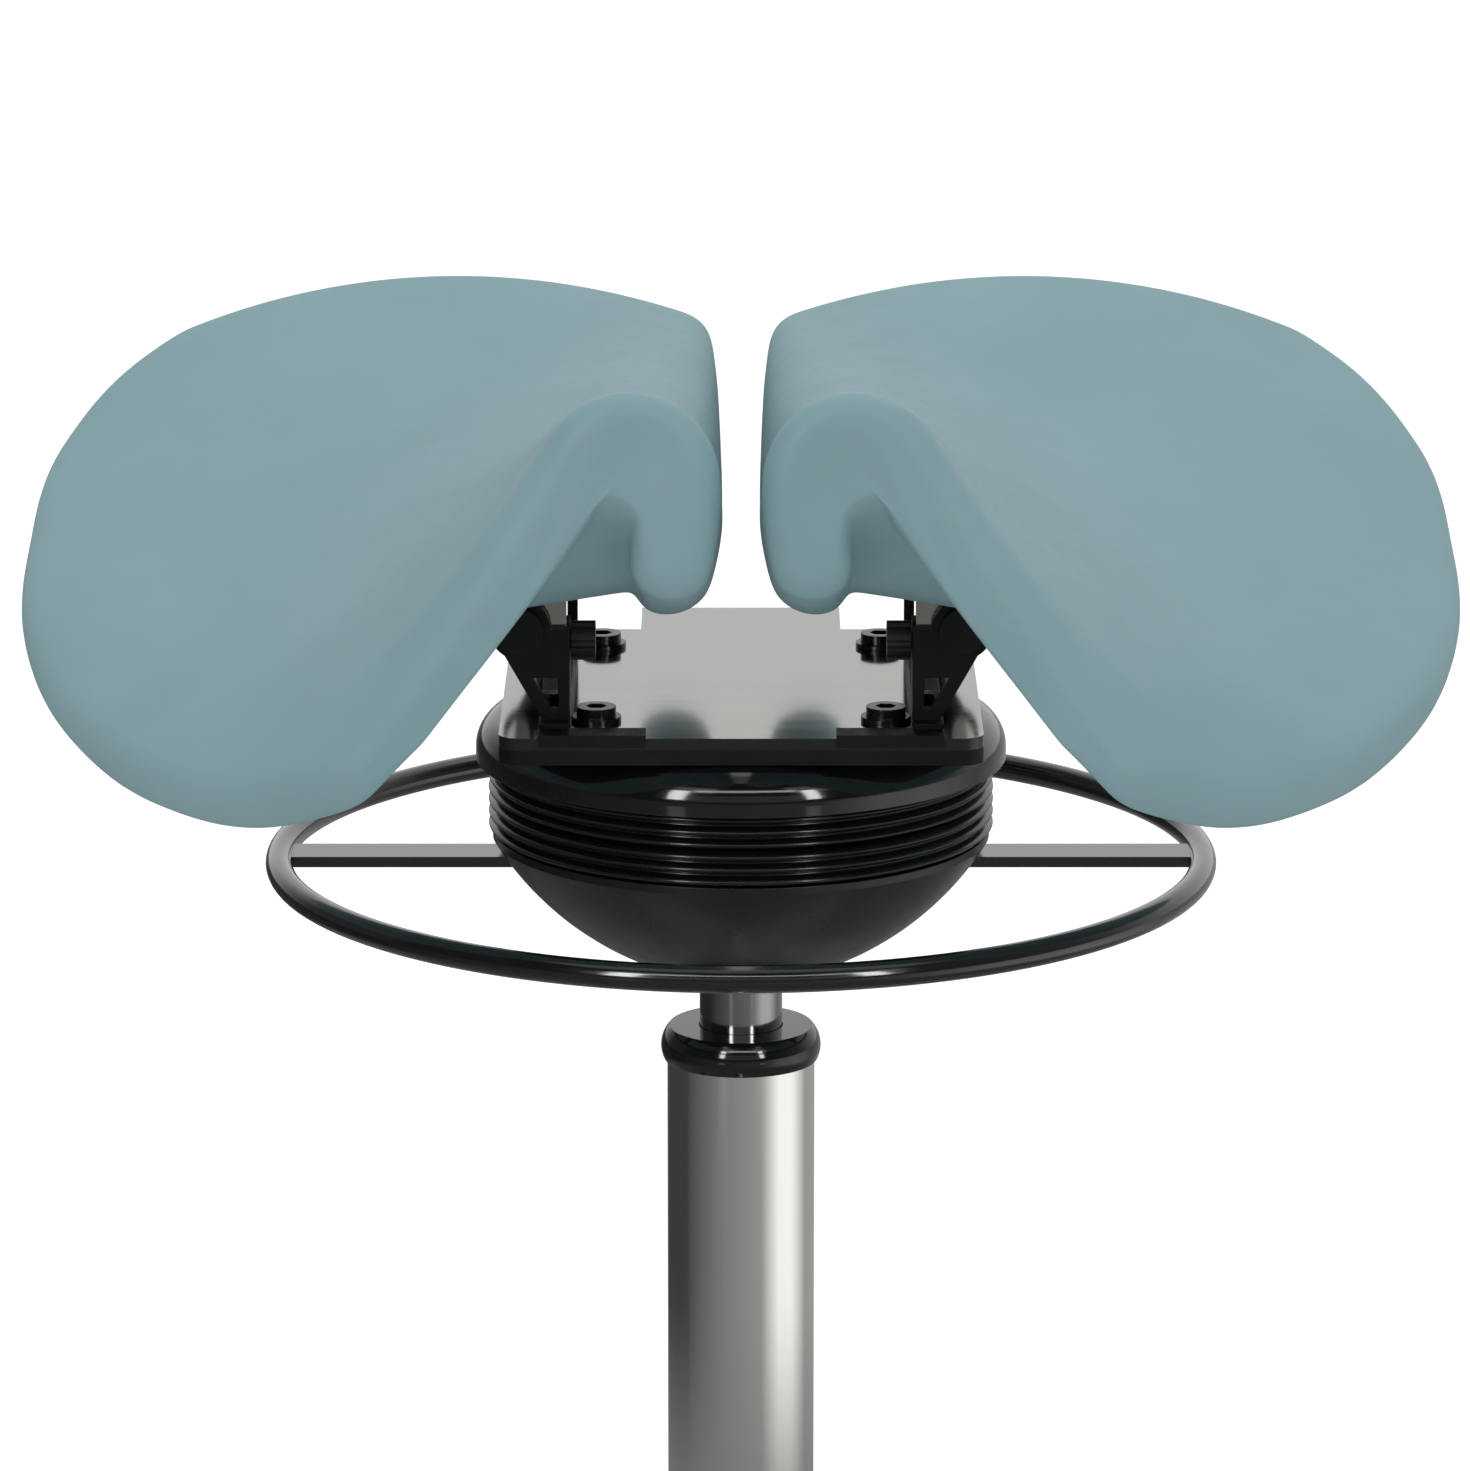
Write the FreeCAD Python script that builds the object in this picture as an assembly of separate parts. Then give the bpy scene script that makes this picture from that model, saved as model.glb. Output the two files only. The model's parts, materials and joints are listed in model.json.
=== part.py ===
import FreeCAD, Part
import math
import os

# Saddle stool with a seat in two halves.
# Millimetres, +Z up, the front faces -Y, and the origin is on the floor under the column.

V = FreeCAD.Vector
ORIGIN = V(0, 0, 0)
UP = V(0, 0, 1)

# Clearances
RUN_FIT = 0.06          # radial, a shaft that turns or slides in its bore
FIXED_FIT = 0.03        # radial, a pin or screw that stays in its bore
AIR = 0.3               # between faces that pass each other
PUSH_GAP = 0.2          # between a pusher and what it pushes
SIDE_GAP = 0.5          # beside a part that turns between two cheeks

# Casters and star base
LEG_COUNT = 5
FIRST_LEG_ANGLE = -90.0
CASTER_CIRCLE_R = 245.0
WHEEL_R = 30.0
WHEEL_WIDTH = 14.0
WHEEL_SPACE = 22.0      # between the two wheels of a caster
WHEEL_EDGE_R = 3.0
WHEEL_DISH_OUTER_R = 22.0
WHEEL_DISH_INNER_R = 9.0
WHEEL_DISH_DEPTH = 4.0
CASTER_TRAIL = 20.0     # axle behind the swivel axis
AXLE_R = 4.0
FENDER_GAP = 1.5
FENDER_WALL = 2.5
FENDER_RISE = 4.0       # lower edge of the fender above the axle
WEB_DROP = 8.0          # lower edge of the web below the axle
STEM_R = 5.5
STEM_FLANGE_R = 8.0
STEM_FLANGE_T = 1.7
STEM_IN_HOOD = 18.0
STEM_IN_LEG = 26.0
LEG_TIP_R = 17.0
LEG_TIP_H = 28.0
LEG_ROOT_R = 30.0
LEG_ROOT_W = 44.0
LEG_ROOT_H = 44.0
LEG_ROOT_RISE = 18.0    # underside of the leg at the hub above its underside at the tip
LEG_MID_W = 34.0
LEG_MID_H = 29.0
LEG_MID_RISE = 9.0
LEG_TIP_W = 26.0
LEG_SHOULDER = 0.62     # height of the straight sides as a share of the section
HUB_H = 74.0
HUB_FOOT_R = 41.0
HUB_TOP_R = 35.0
HUB_RISE = 10.0         # underside of the hub above the underside of the leg tips

# Column and gas spring
COLUMN_R = 25.0
COLUMN_FOOT_R = 23.5
COLUMN_BORE_R = 22.0
COLUMN_LENGTH = 304.0
COLUMN_FLOOR_T = 5.0
COLLAR_R = 26.8
COLLAR_H = 9.0
COLLAR_SKIRT = 2.5
COLLAR_SKIRT_R = 26.0
COLLAR_TOP_R = 24.3
SLEEVE_LENGTH = 90.0
ROD_R = 5.0
ROD_FOOT_R = 4.0
CLIP_T = 2.0
CLIP_R = 7.0
CLIP_GROOVE = 0.8
CLIP_BELOW = 2.0        # end of the rod below the clip
WASHER_R = 14.0
WASHER_T = 2.0
BALL_COUNT = 8
BALL_R = 1.95
BALL_SPACE = 4.0
BALL_CIRCLE_R = 9.5
BUFFER_R = 12.0
BUFFER_T = 3.0
CYL_R = 14.0
CYL_WALL = 1.5
CYL_ABOVE_COLUMN = 60.0  # top of the lowered cylinder above the column
CYL_TAPER_LENGTH = 28.0
CYL_TAPER_TOP_R = 13.0
GLAND_T = 12.0
STROKE = 190.0
STROKE_SPARE = 6.0      # between the gland and the piston at full height
PISTON_T = 12.0
VALVE_BLOCK_T = 24.0
VALVE_PIN_R = 3.0
VALVE_PIN_LENGTH = 19.8
VALVE_BORE_DEPTH = 16.0

# Bowl, ring and valve linkage
BOWL_WALL = 2.5
BOWL_BELLY_SHARE = 0.695    # belly's radius as a share of the rim's
BOWL_BELLY_H = 16.0
BOWL_RIM_R = 83.5
BOWL_RIM_LIP = 4.5      # width of the rim's flat top
BOWL_H = 47.0
HUB_BLOCK_R = 24.0
HUB_BLOCK_H = 26.0
RING_R = 160.0          # outside of the ring
RING_ROD_R = 4.5
RING_PRESS = 6.0
SPOKE_W = 18.0
SPOKE_T = 3.6
SPOKE_INNER_X = 26.0
SPOKE_ABOVE_HUB = 6.2   # underside of the spokes above the top of the hub block
SLOT_SIDE = 1.0
YOKE_WALL = 4.0
YOKE_LENGTH = 18.2
YOKE_FLANGE_R = 42.0
YOKE_FLANGE_T = 3.7
PUSHER_X = 28.0
PUSHER_LENGTH = 6.0
PUSHER_WALL = 3.0
SPRING_WALL = 1.6
LEVER_W = 10.0
LEVER_T = 4.0
LEVER_ABOVE_HUB = 11.5
LEVER_END_X = 36.0
LEVER_PIVOT_X = -13.0
LEVER_PIN_R = 2.5
LEVER_BOSS_R = 5.0

# Swing unit
FORK_LEG_H = 22.0
FORK_LEG_X0 = -12.0
FORK_LEG_X1 = 10.0
FORK_LEG_IN_Y = 10.0
FORK_LEG_OUT_Y = 20.0
FORK_LUG_OUT_Y = 15.5   # outer faces of the two lugs that hold the lever's pin
FORK_DISC_R = 62.0
FORK_DISC_T = 4.0
FORK_SCREW_X0 = -7.0
FORK_SCREW_X1 = 6.0
FORK_SCREW_Y = 17.0
FORK_SCREW_R = 2.5
FORK_SCREW_HEAD_R = 4.2
FORK_SCREW_HEAD_H = 3.0
FORK_SCREW_DEPTH = 12.0
CROSS_ABOVE_DISC = 15.0
CROSS_PIN_R = 6.0
CROSS_PIN_REACH = 27.0
CROSS_BALL_R = 13.0
EAR_IN = 18.0           # inner face of the fork and clevis ears from the axis
EAR_T = 8.0
EAR_R = 9.0
CLEVIS_DISC_R = 36.0
CLEVIS_DISC_T = 4.0
RUBBER_IN_R = 44.0
RUBBER_OUT_R = 59.0

# Bellows and top cover
BELLOWS_H = 25.0
BELLOWS_RIBS = 6
BELLOWS_PROUD = 1.3     # crests beyond the bowl's rim
BELLOWS_RIB_H = 3.2
BELLOWS_WALL = 2.0
RIB_RAMP = 0.28         # share of a rib's pitch that each flank takes
COVER_OVERHANG = 4.2    # cover's edge beyond the bellows
COVER_H = 15.5
COVER_WALL = 2.5
COVER_ROUND_R = 12.0
COVER_INNER_ROUND_R = 6.0
COVER_LIP_T = 2.0

# Plates and bolts
PLATE_W = 158.0
PLATE_DEPTH = 160.0
PLATE_CORNER_R = 7.0
CARRIER_T = 5.0
SEAT_PLATE_T = 4.0
TAB_W = 69.0
TAB_LENGTH = 34.0
BOLT_X = 47.5
BOLT_EDGE = 35.0        # bolts' row inside the edge of the cover
BOLT_R = 4.0
BOLT_FLANGE_R = 8.2
BOLT_FLANGE_T = 1.6
BOLT_HEAD_R = 6.5
BOLT_HEAD_H = 3.2
BOLT_SOCKET_R = 3.5
BOLT_SOCKET_DEPTH = 2.4
BOLT_TAIL = 1.5
NUT_R = 7.0
NUT_H = 6.5

# Hinge brackets, arms and gap screws (right side; the left one is mirrored)
BRACKET_X0 = 56.0
BRACKET_X1 = 66.0
BRACKET_T = 3.0
FOOT_X0 = 31.0
FOOT_DEPTH = 9.0
FOOT_T = 1.5
FOOT_LAP = 1.0          # foot under the end of the base strip
FOOT_LIP_T = 2.0        # foot's lip in front of the plate
FOOT_LIP_DROP = 2.5     # lip's lower edge below the top of the plate
WEB_T = 3.0
WEB_H = 5.0
EAR_PLATE_T = 4.0
EAR_INSET = 6.0         # outer faces of the two ears inside the ends of the base strip
EAR_BOSS_R = 10.0
EAR_FOOT_W = 9.0
EAR_WINDOW_EDGE = 3.5
EAR_WINDOW_DROP = 16.0  # top of the window below the pivot
EAR_LEG_W = 5.0         # width of the outer leg, along X
PIVOT_X = 72.0
PIVOT_ABOVE_PLATE = 33.0
PIVOT_R = 5.0
PIN_HEAD_R = 7.5
PIN_HEAD_T = 4.0
PIN_TAIL = 3.0
ARM_TUBE_R = 8.5
ARM_BLOCK_X0 = 62.0
ARM_BLOCK_X1 = 80.0
ARM_BLOCK_DROP = 2.0    # underside of the block above the pivot
ARM_FLANGE_X0 = 40.0
ARM_FLANGE_X1 = 79.0
ARM_FLANGE_HALF_Y = 44.0
ARM_FLANGE_ABOVE_PIVOT = 9.0
ARM_FLANGE_T = 4.0
CHEEK_X0 = 57.0
CHEEK_W = 5.5
CHEEK_T = 4.0
CHEEK_DROP = 7.0
LUG_REACH = 9.5         # face of the lug from the pivot
LUG_DROP = 14.0
KNOB_R = 6.5
KNOB_T = 8.0
KNOB_FLUTES = 6
KNOB_FLUTE_R = 1.4
GAP_SCREW_R = 3.0
GAP_SCREW_INSET = 12.0  # screw axis inside the front ear
GAP_SCREW_DROP = 7.0    # screw axis below the pivot
GAP_SCREW_PLAY = 1.6    # between the tip and the lug
NUT_BLOCK_W = 12.0
NUT_BLOCK_X = 4.0
NUT_BLOCK_CAP = 4.0
BRACKET_SCREW_INSET = 12.0  # inside the gap screw
BRACKET_SCREW_R = 2.0
BRACKET_SCREW_HEAD_R = 3.2
BRACKET_SCREW_HEAD_H = 2.6

# Pans, their screws and the pads
PAN_T = 7.0
PAN_SKIN = 5.0          # foam and cover under the pan
PAN_EDGE = 22.0         # pan's edge inside the edge of the pad
PAN_INNER = 3.0
PAN_CAVITY = 0.8        # pad's cavity round the pan
PAN_POCKET = 1.0        # pad's pocket round the pan's block and the arm's flange
PAN_BLOCK_INSET = 2.5
PAN_BLOCK_H = 12.0
PAN_SCREW_R = 2.0
PAN_SCREW_HEAD_R = 3.5
PAN_SCREW_HEAD_H = 2.5
PAN_SCREW_INSET = 6.0
PAN_SCREW_PITCH = 11.0
PAN_SCREW_DEPTH = 6.0
LEG_OF_PAD_T = 28.0     # thickness of the inner leg of the pad
PAD_TUCK_R = 4.0        # small round between the inner leg and the underside
EDGE_SHARE = 0.75       # thickness at the outer edge, as a share of the thickness near the fold
EDGE_BULGE = 0.42       # outer edge stands out by this share of its thickness
NOSE_BULGE = 0.9        # inner leg's foot, as a share of its half thickness
# Distance from an end of the pad, and how far its section is drawn in there
END_ROUND = ((0.0, 7.5), (2.5, 3.0), (8.0, 0.0))

# The pad's form at stations from front to back, in units of PAD_UNIT_LENGTH. Heights are above the
# seat of the pan. Columns: place, gap side, foot of the inner leg, fold radius, fold height, fold
# angle, outer edge, its height, thickness, underside beside the inner leg, and the share of the
# wing where they meet.
PAD_UNIT_LENGTH = 10.0
PAD_TABLE = (
    (-15.0, 0.7, 2.4, 2.9, 5.4, 31.0, 12.8, -3.7, 2.7, 4.6, 0.06),
    (-12.5, 0.7, 1.8, 3.0, 4.8, 35.0, 16.0, -4.8, 2.9, 3.0, 0.08),
    (-9.0, 0.7, 0.8, 3.0, 3.9, 44.0, 19.4, -4.7, 3.0, 1.0, 0.15),
    (-5.0, 0.7, -0.2, 2.9, 3.1, 54.0, 21.9, -3.7, 3.0, -0.3, 0.2),
    (0.0, 0.7, -0.3, 2.7, 2.8, 66.0, 23.6, -2.1, 3.0, -0.3, 0.25),
    (5.0, 0.7, -0.3, 2.3, 3.0, 79.0, 24.0, -0.3, 3.0, -0.2, 0.35),
    (10.0, 0.75, -0.1, 1.8, 3.6, 95.0, 23.1, 2.1, 2.9, 0.8, 0.45),
    (13.5, 0.9, 0.4, 1.3, 4.1, 107.0, 20.8, 4.2, 2.8, 1.8, 0.45),
    (15.0, 1.0, 0.8, 1.1, 4.2, 112.0, 18.8, 5.3, 2.6, 2.4, 0.45),
)


def station(row):
    """Row of the pad's table in millimetres. Its angle and its share stay as they are."""
    lengths = [value * PAD_UNIT_LENGTH for value in row]
    return (*lengths[:5], row[5], *lengths[6:10], row[10])


PAD_STATIONS = [station(row) for row in PAD_TABLE]

# Heights and places that follow from the sizes above
AXLE_Z = WHEEL_R
FENDER_IN_R = WHEEL_R + FENDER_GAP
FENDER_OUT_R = FENDER_IN_R + FENDER_WALL
HOOD_TOP_Z = AXLE_Z + FENDER_OUT_R
LEG_TIP_Z = HOOD_TOP_Z + AIR + STEM_FLANGE_T
HUB_Z = LEG_TIP_Z + HUB_RISE
HUB_TOP_Z = HUB_Z + HUB_H
COLUMN_FLOOR_Z = HUB_Z + COLUMN_FLOOR_T
COLUMN_TOP_Z = HUB_Z + COLUMN_LENGTH
CLIP_TOP_Z = HUB_Z - AIR
CLIP_Z = CLIP_TOP_Z - CLIP_T
BALLS_Z = COLUMN_FLOOR_Z + WASHER_T
UPPER_WASHER_Z = BALLS_Z + BALL_SPACE
ROD_SHOULDER_Z = UPPER_WASHER_Z + WASHER_T
CYL_Z = ROD_SHOULDER_Z + BUFFER_T
CYL_TOP_Z = COLUMN_TOP_Z + CYL_ABOVE_COLUMN
GLAND_TOP_Z = CYL_Z + GLAND_T
PISTON_Z = GLAND_TOP_Z + STROKE + STROKE_SPARE
HUB_BLOCK_Z = CYL_TOP_Z - HUB_BLOCK_H
BOWL_Z = HUB_BLOCK_Z - BOWL_WALL
BOWL_RIM_Z = BOWL_Z + BOWL_H
BOWL_RIM_IN_R = BOWL_RIM_R - BOWL_RIM_LIP
BOWL_BELLY_R = BOWL_BELLY_SHARE * BOWL_RIM_R
BELLOWS_CREST_R = BOWL_RIM_R + BELLOWS_PROUD
BELLOWS_VALLEY_R = BELLOWS_CREST_R - BELLOWS_RIB_H
BELLOWS_BORE_R = BELLOWS_VALLEY_R - BELLOWS_WALL
COVER_R = BELLOWS_CREST_R + COVER_OVERHANG
BOLT_Y = COVER_R - BOLT_EDGE
SPOKE_Z = CYL_TOP_Z + SPOKE_ABOVE_HUB
RING_Z = SPOKE_Z + SPOKE_T / 2
YOKE_R = HUB_BLOCK_R + RUN_FIT
YOKE_Z = SPOKE_Z - YOKE_LENGTH
BOWL_FLOOR_R = YOKE_R + YOKE_WALL + SIDE_GAP
LEVER_Z = CYL_TOP_Z + LEVER_ABOVE_HUB
LEVER_TOP_Z = LEVER_Z + LEVER_T
FORK_DISC_Z = CYL_TOP_Z + FORK_LEG_H
FORK_TOP_Z = FORK_DISC_Z + FORK_DISC_T
CROSS_Z = FORK_TOP_Z + CROSS_ABOVE_DISC
COVER_Z = BOWL_RIM_Z + BELLOWS_H
CARRIER_Z = COVER_Z + COVER_H
SEAT_PLATE_Z = CARRIER_Z + CARRIER_T
PLATE_TOP_Z = SEAT_PLATE_Z + SEAT_PLATE_T
BRACKET_TOP_Z = PLATE_TOP_Z + BRACKET_T
PIVOT_Z = PLATE_TOP_Z + PIVOT_ABOVE_PLATE
ARM_FLANGE_Z = PIVOT_Z + ARM_FLANGE_ABOVE_PIVOT
PAN_SEAT_Z = ARM_FLANGE_Z + ARM_FLANGE_T
BRACKET_HALF_Y = PLATE_DEPTH / 2 - FOOT_DEPTH + FOOT_LAP
EAR_FACE_Y = BRACKET_HALF_Y - EAR_INSET
EAR_IN_Y = EAR_FACE_Y - EAR_PLATE_T
GAP_SCREW_Y = GAP_SCREW_INSET - EAR_IN_Y
BRACKET_SCREW_X = (BRACKET_X0 + WEB_T + BRACKET_X1) / 2
BRACKET_SCREW_Y = -GAP_SCREW_Y - BRACKET_SCREW_INSET
KNOB_X0 = BRACKET_X0 - AIR - KNOB_T
GAP_SCREW_Z = PIVOT_Z - GAP_SCREW_DROP
LUG_FACE_X = PIVOT_X - LUG_REACH


# Plain solids and outlines

def box(x0, x1, y0, y1, z0, z1):
    return Part.makeBox(x1 - x0, y1 - y0, z1 - z0, V(x0, y0, z0))


def disc(r, z0, z1, x=0.0, y=0.0):
    return Part.makeCylinder(r, z1 - z0, V(x, y, z0), UP)


def sleeve(r_out, r_in, z0, z1, x=0.0, y=0.0):
    return disc(r_out, z0, z1, x, y).cut(disc(r_in, z0, z1, x, y))


def bar_x(r, x0, x1, y, z):
    return Part.makeCylinder(r, x1 - x0, V(x0, y, z), V(1, 0, 0))


def bar_y(r, y0, y1, x, z):
    return Part.makeCylinder(r, y1 - y0, V(x, y0, z), V(0, 1, 0))


def joined(first, *others):
    return first.multiFuse(list(others)).removeSplitter()


def outline(place, start, *steps):
    """Closed wire. A step is an end point, or a middle and an end point where the stretch is an arc."""
    edges = []
    here = start
    for step in steps:
        if isinstance(step[0], tuple):
            middle, there = step
            edges.append(Part.Arc(place(*here), place(*middle), place(*there)).toShape())
        else:
            there = step
            edges.append(Part.LineSegment(place(*here), place(*there)).toShape())
        here = there
    if here != start:
        edges.append(Part.LineSegment(place(*here), place(*start)).toShape())
    return Part.Wire(edges)


def turned(start, *steps):
    """Solid of revolution about Z from an outline of radii and heights."""
    wire = outline(lambda r, z: V(r, 0, z), start, *steps)
    return Part.Face(wire).revolve(ORIGIN, UP, 360)


def plate(z0, z1, start, *steps):
    """Flat plate from an outline of X and Y."""
    wire = outline(lambda x, y: V(x, y, z0), start, *steps)
    return Part.Face(wire).extrude(V(0, 0, z1 - z0))


def upright(y0, y1, start, *steps):
    """Upright plate that faces the front, from an outline of X and Z."""
    wire = outline(lambda x, z: V(x, y0, z), start, *steps)
    return Part.Face(wire).extrude(V(0, y1 - y0, 0))


def mirrored(shape):
    return shape.mirror(ORIGIN, V(1, 0, 0))


def corner(centre, r, degrees):
    """Point on a round, at an angle from +X."""
    angle = math.radians(degrees)
    return (centre[0] + r * math.cos(angle), centre[1] + r * math.sin(angle))


def save(name, *solids):
    shape = solids[0] if len(solids) == 1 else Part.makeCompound(list(solids))
    shape.exportStep("parts/" + name + ".step")


# Base and casters

def leg_section(reach, width, floor_z, height):
    half = width / 2
    shoulder = floor_z + LEG_SHOULDER * height
    crown = (0.0, floor_z + height)
    return outline(lambda y, z: V(reach, y, z), (-half, floor_z), (half, floor_z), (half, shoulder),
                   (crown, (-half, shoulder)))


def leg_angle(index):
    return FIRST_LEG_ANGLE + index * 360.0 / LEG_COUNT


def star_base():
    middle = (LEG_ROOT_R + CASTER_CIRCLE_R) / 2
    leg = Part.makeLoft([
        leg_section(LEG_ROOT_R, LEG_ROOT_W, LEG_TIP_Z + LEG_ROOT_RISE, LEG_ROOT_H),
        leg_section(middle, LEG_MID_W, LEG_TIP_Z + LEG_MID_RISE, LEG_MID_H),
        leg_section(CASTER_CIRCLE_R, LEG_TIP_W, LEG_TIP_Z, LEG_TIP_H),
    ], True)
    tip = disc(LEG_TIP_R, LEG_TIP_Z, LEG_TIP_Z + LEG_TIP_H, CASTER_CIRCLE_R)
    arm = leg.fuse(tip)
    bore = disc(STEM_R + FIXED_FIT, LEG_TIP_Z, LEG_TIP_Z + STEM_IN_LEG, CASTER_CIRCLE_R)
    arm = arm.cut(bore)
    hub = Part.makeCone(HUB_FOOT_R, HUB_TOP_R, HUB_H, V(0, 0, HUB_Z))
    arms = []
    for index in range(LEG_COUNT):
        turned_arm = arm.copy()
        turned_arm.rotate(ORIGIN, UP, leg_angle(index))
        arms.append(turned_arm)
    taper = Part.makeCone(COLUMN_FOOT_R + FIXED_FIT, COLUMN_R + FIXED_FIT, HUB_H, V(0, 0, HUB_Z))
    return joined(hub, *arms).cut(taper)


def at_caster(shape, index):
    """Moves a piece, made with the swivel axis at the origin and the axle at -X, to its leg."""
    angle = leg_angle(index)
    moved = shape.copy()
    moved.rotate(ORIGIN, UP, angle + 90.0)
    reach = math.radians(angle)
    moved.translate(V(CASTER_CIRCLE_R * math.cos(reach), CASTER_CIRCLE_R * math.sin(reach), 0))
    return moved


def caster_stem():
    shank = disc(STEM_R, HOOD_TOP_Z - STEM_IN_HOOD, LEG_TIP_Z + STEM_IN_LEG)
    flange = disc(STEM_FLANGE_R, LEG_TIP_Z - STEM_FLANGE_T, LEG_TIP_Z)
    return joined(shank, flange)


def caster_hood():
    half_width = WHEEL_SPACE / 2 + WHEEL_WIDTH
    half_web = WHEEL_SPACE / 2 - SIDE_GAP
    fender = bar_y(FENDER_OUT_R, -half_width, half_width, -CASTER_TRAIL, AXLE_Z)
    fender = fender.cut(bar_y(FENDER_IN_R, -half_width, half_width, -CASTER_TRAIL, AXLE_Z))
    far = CASTER_TRAIL + FENDER_OUT_R
    fender = fender.cut(box(-far, far, -half_width, half_width, -WHEEL_R, AXLE_Z + FENDER_RISE))
    web = bar_y(FENDER_OUT_R, -half_web, half_web, -CASTER_TRAIL, AXLE_Z)
    web = web.cut(box(-far, far, -half_width, half_width, -WHEEL_R, AXLE_Z - WEB_DROP))
    boss = disc(half_web, AXLE_Z, HOOD_TOP_Z)
    hood = joined(fender, web, boss)
    hood = hood.cut(disc(STEM_R + RUN_FIT, HOOD_TOP_Z - STEM_IN_HOOD, HOOD_TOP_Z + STEM_FLANGE_T))
    return hood.cut(bar_y(AXLE_R + FIXED_FIT, -half_width, half_width, -CASTER_TRAIL, AXLE_Z))


def caster_axle():
    half_width = WHEEL_SPACE / 2 + WHEEL_WIDTH - SIDE_GAP
    return bar_y(AXLE_R, -half_width, half_width, -CASTER_TRAIL, AXLE_Z)


def caster_wheel():
    bore = AXLE_R + RUN_FIT
    inner = (WHEEL_R - WHEEL_EDGE_R, WHEEL_EDGE_R)
    outer = (WHEEL_R - WHEEL_EDGE_R, WHEEL_WIDTH - WHEEL_EDGE_R)
    wheel = turned(
        (bore, 0.0),
        (WHEEL_R - WHEEL_EDGE_R, 0.0),
        (corner(inner, WHEEL_EDGE_R, -45), (WHEEL_R, WHEEL_EDGE_R)),
        (WHEEL_R, WHEEL_WIDTH - WHEEL_EDGE_R),
        (corner(outer, WHEEL_EDGE_R, 45), (WHEEL_R - WHEEL_EDGE_R, WHEEL_WIDTH)),
        (WHEEL_DISH_OUTER_R, WHEEL_WIDTH),
        (WHEEL_DISH_OUTER_R - WHEEL_DISH_DEPTH / 2, WHEEL_WIDTH - WHEEL_DISH_DEPTH),
        (WHEEL_DISH_INNER_R + WHEEL_DISH_DEPTH / 2, WHEEL_WIDTH - WHEEL_DISH_DEPTH),
        (WHEEL_DISH_INNER_R, WHEEL_WIDTH),
        (bore, WHEEL_WIDTH),
    )
    wheel.rotate(ORIGIN, V(1, 0, 0), -90)
    wheel.translate(V(-CASTER_TRAIL, WHEEL_SPACE / 2, AXLE_Z))
    return wheel


# Column and gas spring

def outer_column():
    hole = ROD_FOOT_R + RUN_FIT
    return turned((hole, HUB_Z), (COLUMN_FOOT_R, HUB_Z), (COLUMN_R, HUB_TOP_Z), (COLUMN_R, COLUMN_TOP_Z),
                  (COLUMN_BORE_R, COLUMN_TOP_Z), (COLUMN_BORE_R, COLUMN_FLOOR_Z), (hole, COLUMN_FLOOR_Z))


def column_collar():
    bore = CYL_R + AIR
    seat = COLUMN_R + FIXED_FIT
    top = COLUMN_TOP_Z + COLLAR_H
    middle = (COLLAR_R, COLUMN_TOP_Z + COLLAR_H / 2)
    return turned((bore, COLUMN_TOP_Z), (seat, COLUMN_TOP_Z), (seat, COLUMN_TOP_Z - COLLAR_SKIRT),
                  (COLLAR_SKIRT_R, COLUMN_TOP_Z - COLLAR_SKIRT), (middle, (COLLAR_TOP_R, top)), (bore, top))


def guide_sleeve():
    return sleeve(COLUMN_BORE_R - FIXED_FIT, CYL_R + RUN_FIT, COLUMN_TOP_Z - SLEEVE_LENGTH, COLUMN_TOP_Z)


def bearing_washer(z):
    return sleeve(WASHER_R, ROD_FOOT_R + AIR, z, z + WASHER_T)


def bearing_balls():
    balls = []
    for index in range(BALL_COUNT):
        angle = index * 2 * math.pi / BALL_COUNT
        centre = V(BALL_CIRCLE_R * math.cos(angle), BALL_CIRCLE_R * math.sin(angle),
                   BALLS_Z + BALL_SPACE / 2)
        balls.append(Part.makeSphere(BALL_R, centre))
    return balls


def piston_rod():
    foot = disc(ROD_FOOT_R, CLIP_Z - CLIP_BELOW, ROD_SHOULDER_Z)
    rod = disc(ROD_R, ROD_SHOULDER_Z, PISTON_Z)
    piston = disc(CYL_R - CYL_WALL - RUN_FIT, PISTON_Z, PISTON_Z + PISTON_T)
    groove = sleeve(ROD_FOOT_R, ROD_FOOT_R - CLIP_GROOVE, CLIP_Z, CLIP_TOP_Z)
    return joined(foot, rod, piston).cut(groove)


def rod_clip():
    clip = sleeve(CLIP_R, ROD_FOOT_R - CLIP_GROOVE + FIXED_FIT, CLIP_Z, CLIP_TOP_Z)
    mouth = ROD_FOOT_R - CLIP_GROOVE
    return clip.cut(box(0, CLIP_R, -mouth, mouth, CLIP_Z, CLIP_TOP_Z))


def rod_buffer():
    return sleeve(BUFFER_R, ROD_R + AIR, ROD_SHOULDER_Z, CYL_Z)


def gas_cylinder():
    body = turned((0.0, CYL_Z), (CYL_R, CYL_Z), (CYL_R, CYL_TOP_Z - CYL_TAPER_LENGTH),
                  (CYL_TAPER_TOP_R, CYL_TOP_Z), (0.0, CYL_TOP_Z))
    chamber = disc(CYL_R - CYL_WALL, GLAND_TOP_Z, CYL_TOP_Z - VALVE_BLOCK_T)
    gland = disc(ROD_R + RUN_FIT, CYL_Z, GLAND_TOP_Z)
    valve = disc(VALVE_PIN_R + RUN_FIT, CYL_TOP_Z - VALVE_BORE_DEPTH, CYL_TOP_Z)
    return body.cut(chamber).cut(gland).cut(valve)


def valve_pin():
    top = LEVER_Z - PUSH_GAP
    return disc(VALVE_PIN_R, top - VALVE_PIN_LENGTH, top)


# Bowl, ring and valve linkage

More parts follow.
